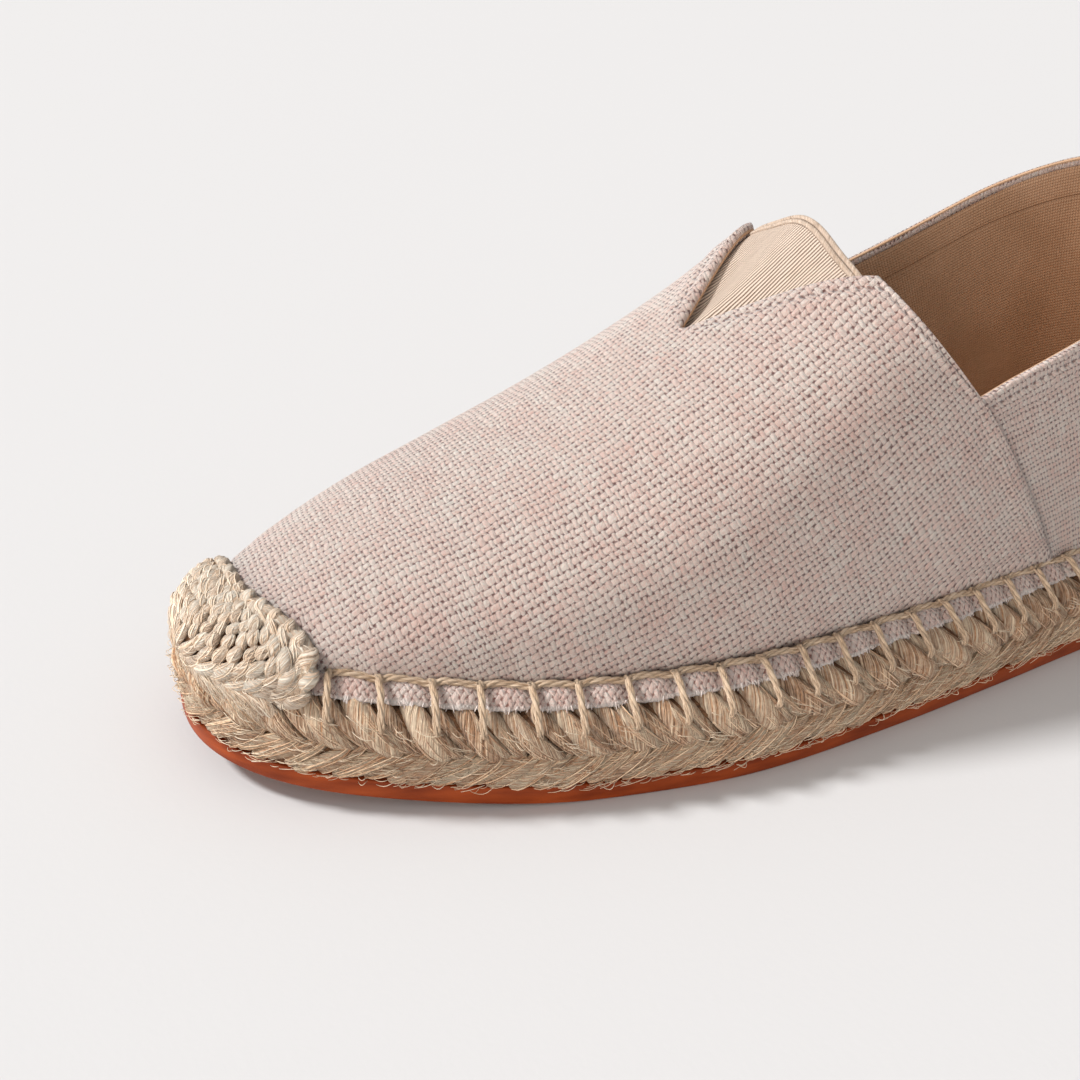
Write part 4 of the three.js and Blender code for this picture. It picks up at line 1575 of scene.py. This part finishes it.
@dataclass
class ToeCap:
    """Darned jute cap: a dome of slanted yarn stitches with a thick whipped edge at the back."""

    last: Last
    length: float = 21.0
    arch: float = 8.4
    arch_turn: float = 1.12
    tuck: float = 7.0
    tuck_turn: float = 0.3
    front_inset: float = 1.0
    thickness: float = 0.3
    stitch_step: float = 2.9
    stitch_size: tuple[float, float] = (1.25, 0.95)
    bundles: int = 34
    bundles_reach: float = 25.0
    rows_at: tuple[float, ...] = (0.06, 0.17, 0.28, 0.4, 0.52, 0.64, 0.76, 0.88)

    def surface(self, side: Array, share: Array, climb: Array, out: Array) -> Array:
        """Point of the cap's outside, raised by out.

        The foot runs from the braid's edge at the toe to the margin at the back; the section is a superellipse.
        Towards its back edge it blends into the surface of the vamp, except near the foot.

        Args:
            side: Sign of the side.
            share: 0 at the toe, 1 at the back edge.
            climb: 0 at the foot, 1 at the ridge.
            out: Distance outwards.

        Returns:
            Points.
        """
        last = self.last
        side, share, climb, out = np.broadcast_arrays(side, share, climb, out)
        inset = mix(self.front_inset, 2.0, ease(share)) - out
        turn = np.where(side > 0, climb, 2 - climb)
        tucked = self.tuck * np.maximum(1 - turn / self.tuck_turn, 0) ** 2
        reach = self.length - self.arch * ease(turn / self.arch_turn) - tucked
        from_toe = mix(self.front_inset - out, reach, share)
        along = np.maximum((from_toe - inset) / (last.sole_length - 2 * inset), 0)
        foot = last.outline(side, along, inset, last.shoulder_z - 0.6)
        crown = last.welt_z + last.ridge_height(last.share(reach), 0.0)
        tall = crown + self.thickness - last.shoulder_z + 0.6 + out
        ridge = tall * round_off(share, 1.4, 2.2) / round_off(np.array(1.0), 1.4, 2.2)
        power = 2 / 2.38
        angle = climb * np.pi / 2
        x = last.axis_x + (foot[..., 0] - last.axis_x) * np.maximum(np.cos(angle), 0) ** power
        dome = np.stack([x, foot[..., 1], foot[..., 2] + ridge * np.sin(angle) ** power], -1)
        on_vamp = last.point(side, np.maximum(last.share(from_toe), 0.002), climb, -0.5 - out)
        return mix(dome, on_vamp, (ease((share - 0.7) / 0.3) * ease(climb / 0.35))[..., None])

    def wrap(self, share: Array, turn: Array, out: Array) -> Array:
        """Point by share and turn, where turn goes from 0 at the outer foot over the ridge to 2 at the inner foot."""
        side, climb = halves(turn)
        return self.surface(side, share, climb, out)

    def build(self) -> list[bpy.types.Object]:
        """Makes the dome, its stitches, the front fibres and the whipped edge.

        Returns:
            The objects.
        """
        share, turn = np.meshgrid(np.linspace(0, 1, 40) ** 1.6, np.linspace(0, 2, 81), indexing="ij")
        dome = Patch.slab(self.wrap(share, turn, -0.3), self.wrap(share, turn, -1.3), {})
        yarn = StrandFinish((255, 244, 226), (250, 216, 184), 0.9, 4.0, 0.5).make("cap yarn")
        fibre = StrandFinish((255, 246, 228), (226, 192, 158), *FINE).make("cap fibre")
        bands = [*self.darning(), *self.whipping()]
        front = self.front()
        mixed = StrandFinish((255, 238, 214), (222, 180, 144), 0.5, 5.0, 0.6).make("cap front")
        return [
            # Painted shade: the ground between the stitches takes the dark jute fill colours.
            dome.object("cap_ground", JuteFillFinish().make()),
            Patch.join([band.tubes(8) for band in bands]).object("cap_stitches", yarn),
            Patch.join([band.fibres(4, 0.09, 0.3) for band in [*bands, front]]).object("cap_fibres", fibre),
            self.core().object("cap_edge", yarn),
            front.tubes(8).object("cap_front", mixed),
        ]

    def _length(self, share: float) -> tuple[Array, Array]:
        """Turns along a row at a share of the cap, and the distances walked to them."""
        turn = np.linspace(0, 2, 400)
        return turn, walked(self.wrap(np.full(400, share), turn, 0.0))

    def row(self, share: float, reach: float, lean: float, step: float, size: tuple[float, float],
            rise: float, key: int) -> Strands:
        """One row of slanted stitches across the cap.

        Each stitch runs from (share - reach, walk - lean) to (share + reach, walk + lean), arched by rise sin(pi t).

        Args:
            share: Where the row lies, from toe to back edge.
            reach: Half its length as a share of the cap.
            lean: Half its length across, in millimetres.
            step: Distance between stitches.
            size: Half-width and half-depth.
            rise: Height of its arch.
            key: Key of its random numbers, which also staggers the row.

        Returns:
            The stitches.
        """
        turns, runs = self._length(share)
        count = max(int(runs[-1] / step), 3)
        t = np.linspace(0, 1, 9)[None, :]
        j = jitter(6, count, key)
        middle = (np.arange(count)[:, None] + (0.25 if key % 2 else 0.75)) * runs[-1] / count + 0.3 * j[0]
        bend = t * 2 - 1 + 0.15 * np.sin(np.pi * (t * 2 - 1))
        along = share + reach * bend * (1 + 0.2 * j[1]) + 0.008 * j[2]
        walk = middle + lean * (t * 2 - 1) * (1 + 0.2 * j[3])
        turn = np.interp(np.clip(walk, 0, runs[-1]), runs, turns)
        out = -0.35 + rise * np.sin(np.pi * t) ** 0.8 + 0.12 * j[4]
        along = np.clip(along, 0.01, 1.06)
        paths = self.wrap(along, turn, out)
        normals = unit(self.wrap(along, turn, out + 1.0) - paths)
        wide = size[0] * taper(t) * (1 + 0.16 * j[5])
        return Strands(paths, normals, wide, wide * size[1] / size[0], key + 1)

    def darning(self) -> list[Strands]:
        """Rows of stitches parallel to the back edge, staggered from row to row.

        Returns:
            The rows.
        """
        return [
            self.row(share, 0.07, 2.1, self.stitch_step, self.stitch_size, 0.6, 401 + 3 * k)
            for k, share in enumerate(self.rows_at)
        ]

    def whipping(self) -> list[Strands]:
        """Rolled back edge: a row leaning one way and a row over it leaning the other way.

        Returns:
            The two rows.
        """
        return [
            self.row(0.94, 0.06, -1.9, 3.4, (1.35, 0.95), 0.6, 441),
            self.row(0.985, 0.06, 2.0, 3.4, (1.5, 1.1), 0.9, 444),
        ]

    def core(self) -> Patch:
        """Cord inside the whipped edge.

        Returns:
            The cord.
        """
        line = np.linspace(0, 2, 90)[None, :]
        path = self.wrap(np.full_like(line, 0.985), line, -0.4)
        up = unit(self.wrap(np.full_like(line, 0.985), line, 0.6) - path)
        thick = np.full(path.shape[:2], 0.95)
        return tubes(path, up, thick, thick, 10, np.array([0.3]))

    def front(self) -> Strands:
        """Smooth bundles that run from the front of the dome down over the braid's upper row.

        Each follows the dome down to its foot, then the side of the braid to the groove; the two paths are blended.

        Returns:
            The bundles.
        """
        last = self.last
        t = np.linspace(0, 1, 12)[None, :]
        j = jitter(4, self.bundles, 470)
        walk = np.linspace(-self.bundles_reach, self.bundles_reach, self.bundles)[:, None] + 0.6 * j[0]
        edge = last.edge(walk, 0.0, 0.0)
        foot = np.clip((edge[..., 1] + last.sole_length / 2) / self.length, 0, 1)
        down = 1 - np.clip(t / 0.4, 0, 1)
        share = foot + 0.03 * down
        climb = (0.2 + 0.07 * j[1]) * down
        turn = np.where(walk >= 0, climb, 2 - climb)
        dome = self.wrap(np.clip(share, 0.004, 1), turn, 0.2 + 0.15 * j[3])
        low = np.clip((t - 0.3) / 0.7, 0, 1)
        height = mix(last.shoulder_z + 0.8, 11.2 + 1.2 * j[1], low)
        inset = 0.85 - 0.2 * np.sin(np.pi * low) + 1.2 * low**3 + 0.12 * j[3]
        side_path = last.edge(walk + 3.4 * low, inset, height)
        paths = mix(dome, side_path, ease((t - 0.25) / 0.25)[..., None])
        middle = np.array([last.axis_x, -last.sole_length / 2 + 26.0, 12.0])
        normals = unit(paths - middle)
        wide = 1.15 * taper(t) * (1 + 0.15 * j[3])
        return Strands(paths, normals, wide, 0.6 * wide, 471)


@dataclass
class BlanketStitch:
    """Jute twine: a running cord in the angle of the margin, and a bar over the margin at each stitch."""

    last: Last
    ply: float = 0.35

    def twist(self, paths: Array, normals: Array, plies: int, lay: float, tone: float) -> Patch:
        """Plies wound round each path: centre + ply radius times (cos, sin) of 2 pi length / lay.

        Args:
            paths: Centres with axes (twine, step, 3).
            normals: Outward direction, same axes.
            plies: Number of plies.
            lay: Length of one turn.
            tone: Colour number of the first ply.

        Returns:
            The plies.
        """
        length = walked(paths, 1)
        across, up = frame_of(paths, normals)
        made = []
        for k in range(plies):
            angle = 2 * np.pi * (length / lay + k / plies)
            ring = across * np.cos(angle)[..., None] + up * np.sin(angle)[..., None] * 0.8
            thick = np.full(length.shape, self.ply)
            tones = np.full(len(paths), tone + 0.2 * k)
            made.append(tubes(paths + ring * self.ply, normals, thick, thick, 6, tones))
        return Patch.join(made)

    def build(self) -> list[bpy.types.Object]:
        """Makes the running cord and the bars.

        Returns:
            The two objects.
        """
        last = self.last
        run = np.linspace(last.stitch_from, last.stitch_to, 1500)[None, :]
        phase = (run - last.stitch_from) / last.stitch_pitch
        dip = np.abs(np.cos(np.pi * phase)) ** 6
        inset = last.welt_setback - 0.85 - 0.3 * dip
        z = last.welt_z + 0.85 - 0.4 * dip + 0.15 * np.sin(2 * np.pi * phase)
        path = last.edge(run, inset, z)
        normal = unit(last.edge(run, inset - 1.0, z + 1.0) - path)
        twine = StrandFinish((250, 224, 194), (204, 166, 128), 0.8, 3.0, 0.2).make("twine")
        cord = self.twist(path, normal, 3, 7.0, 0.35).object("running_cord", twine)
        return [cord, self.bars().object("stitch_bars", twine)]

    def bars(self) -> Patch:
        """Bars that loop over the cord, cross the margin, and go down into the braid.

        Returns:
            The bars.
        """
        last = self.last
        count = last.stitches
        marks = (0.0, 0.1, 0.2, 0.34, 0.55, 0.78, 0.92, 1.0)
        t = np.linspace(0, 1, 18)[None, :]
        r = jitter(4, count, 300)
        wall = last.welt_setback
        rise = Curve(marks, (0.4, 1.1, 1.0, 0.15, -1.7, -4.1, -5.6, -6.1))
        inset = Curve(marks, (wall - 0.5, wall - 1.2, wall - 2.2, wall - 3.0, wall - 5.1, -0.15, 0.3, 1.9))(t)
        start = last.stitch_from + np.arange(count)[:, None] * last.stitch_pitch
        run = start + 0.35 * r[0] + (0.9 + 0.6 * r[1]) * t
        run = run + 0.5 * np.sin(np.pi * t) * r[3]
        z = last.welt_z + rise(t) * (1 + 0.05 * r[2])
        path = last.edge(run, inset - 0.15 * np.sin(np.pi * t), z)
        normal = unit(last.edge(run, inset - 1.0, z + 0.6) - last.edge(run, inset, z))
        return self.twist(path, normal, 3, 8.5, 0.4)


@dataclass
class Studio:
    """Pale floor, soft light and the photograph's camera."""

    eye: tuple[float, float, float] = (201.6, -150.14, 158.59)
    azimuth: float = 64.98
    elevation: float = 30.15
    roll: float = 2.83
    focal_px: float = 1362.0
    frame_px: float = 1080.0
    floor: Colour = (208, 207, 207)
    floor_reach: float = 4.0
    sky: tuple[float, float, float, float] = (1.0, 0.995, 0.99, 1.0)
    sky_strength: float = 0.53
    sensor: float = 36.0
    far: float = 50.0

    def build(self) -> None:
        """Makes camera, floor, world and lights."""
        scene = bpy.context.scene
        scene.view_settings.view_transform = "Standard"
        data = bpy.data.cameras.new("camera")
        data.sensor_width = self.sensor
        data.lens = self.sensor * self.focal_px / self.frame_px
        data.clip_end = self.far
        camera = bpy.data.objects.new("camera", data)
        bpy.context.collection.objects.link(camera)
        camera.matrix_world = self._pose()
        scene.camera = camera
        self._floor()
        world = bpy.data.worlds.new("studio")
        world.use_nodes = True
        for socket, value in zip(world.node_tree.nodes["Background"].inputs, (self.sky, self.sky_strength)):
            socket.default_value = value
        scene.world = world
        self._sun("key", (-0.45, -0.9, 1.05), 3.3, 10.0)
        self._sun("fill", (0.45, -0.88, 0.14), 1.8, 40.0, (1.0, 0.86, 0.76))

    def _pose(self) -> Matrix:
        """Camera matrix from azimuth, elevation and roll.

        Returns:
            The matrix, in metres.
        """
        az, el, roll = (math.radians(v) for v in (self.azimuth, self.elevation, self.roll))
        back = Vector((math.sin(az) * math.cos(el), -math.cos(az) * math.cos(el), math.sin(el)))
        right = (-back).cross(Vector((0, 0, 1))).normalized()
        up = right.cross(-back)
        side = right * math.cos(roll) + up * math.sin(roll)
        top = up * math.cos(roll) - right * math.sin(roll)
        rows = Matrix((side, top, back)).transposed().to_4x4()
        rows.translation = Vector(self.eye) * MM
        return rows

    def _floor(self) -> None:
        """Large pale floor with a faint tooth."""
        mesh = bpy.data.meshes.new("floor")
        reach = self.floor_reach
        corners = [(-reach, -reach, 0), (reach, -reach, 0), (reach, reach, 0), (-reach, reach, 0)]
        mesh.from_pydata(corners, [], [(0, 1, 2, 3)])
        graph = Graph("floor")
        x, y, _ = graph.place()
        tooth = graph.noise([x * 0.8, y * 0.8, 0.0])
        mesh.materials.append(graph.finish(self.floor, tooth, 0.02, roughness=0.9))
        floor = bpy.data.objects.new("floor", mesh)
        bpy.context.collection.objects.link(floor)

    def _sun(self, name: str, towards: tuple[float, float, float], strength: float, angle: float,
             tint: tuple[float, float, float] = (1.0, 1.0, 1.0)) -> None:
        """Soft light from a direction.

        Args:
            name: Name of the light.
            towards: Direction from the shoe to the light.
            strength: Its strength.
            angle: How wide it looks, in degrees.
            tint: Its colour.
        """
        data = bpy.data.lights.new(name, "SUN")
        data.energy = strength
        data.angle = math.radians(angle)
        data.color = tint
        light = bpy.data.objects.new(name, data)
        light.rotation_euler = Vector(towards).to_track_quat("Z", "Y").to_euler()
        bpy.context.collection.objects.link(light)


def place(pieces: list[bpy.types.Object], node: str, slots: dict[str, str]) -> None:
    """Lets pieces stand for a CAD node, on the one body.

    Args:
        pieces: The objects.
        node: Name of the CAD node.
        slots: Material slot of the record for each object's name; looked up, but not set on any object.
    """
    for piece in pieces:
        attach(piece, "root")
        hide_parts(node)
        slots.get(piece.name, slots["*"])
        LOG.info("%s stands for %s with %d faces", piece.name, node, len(piece.data.polygons))


def main() -> None:
    """Builds the shoe and the studio."""
    logging.basicConfig(level=logging.INFO, format="%(message)s")
    last = Last()
    weave = Weave(last)
    Studio().build()
    place(RubberSole(last).build(), "outsole", {"*": "rubber"})
    place(JuteSole(last).build(), "midsole", {"*": "jute_braid"})
    place(Insole(last).build(), "insole", {"*": "insole_cloth"})
    place(Upper(last, weave).build(), "upper", {"*": "canvas"})
    place(Gore(last, weave).build(), "gore", {"*": "elastic"})
    place(ToeCap(last).build(), "toe_cap", {"*": "jute_yarn"})
    place(BlanketStitch(last).build(), "stitch_cord", {"*": "jute_twine"})


if __name__ == "__main__":
    main()
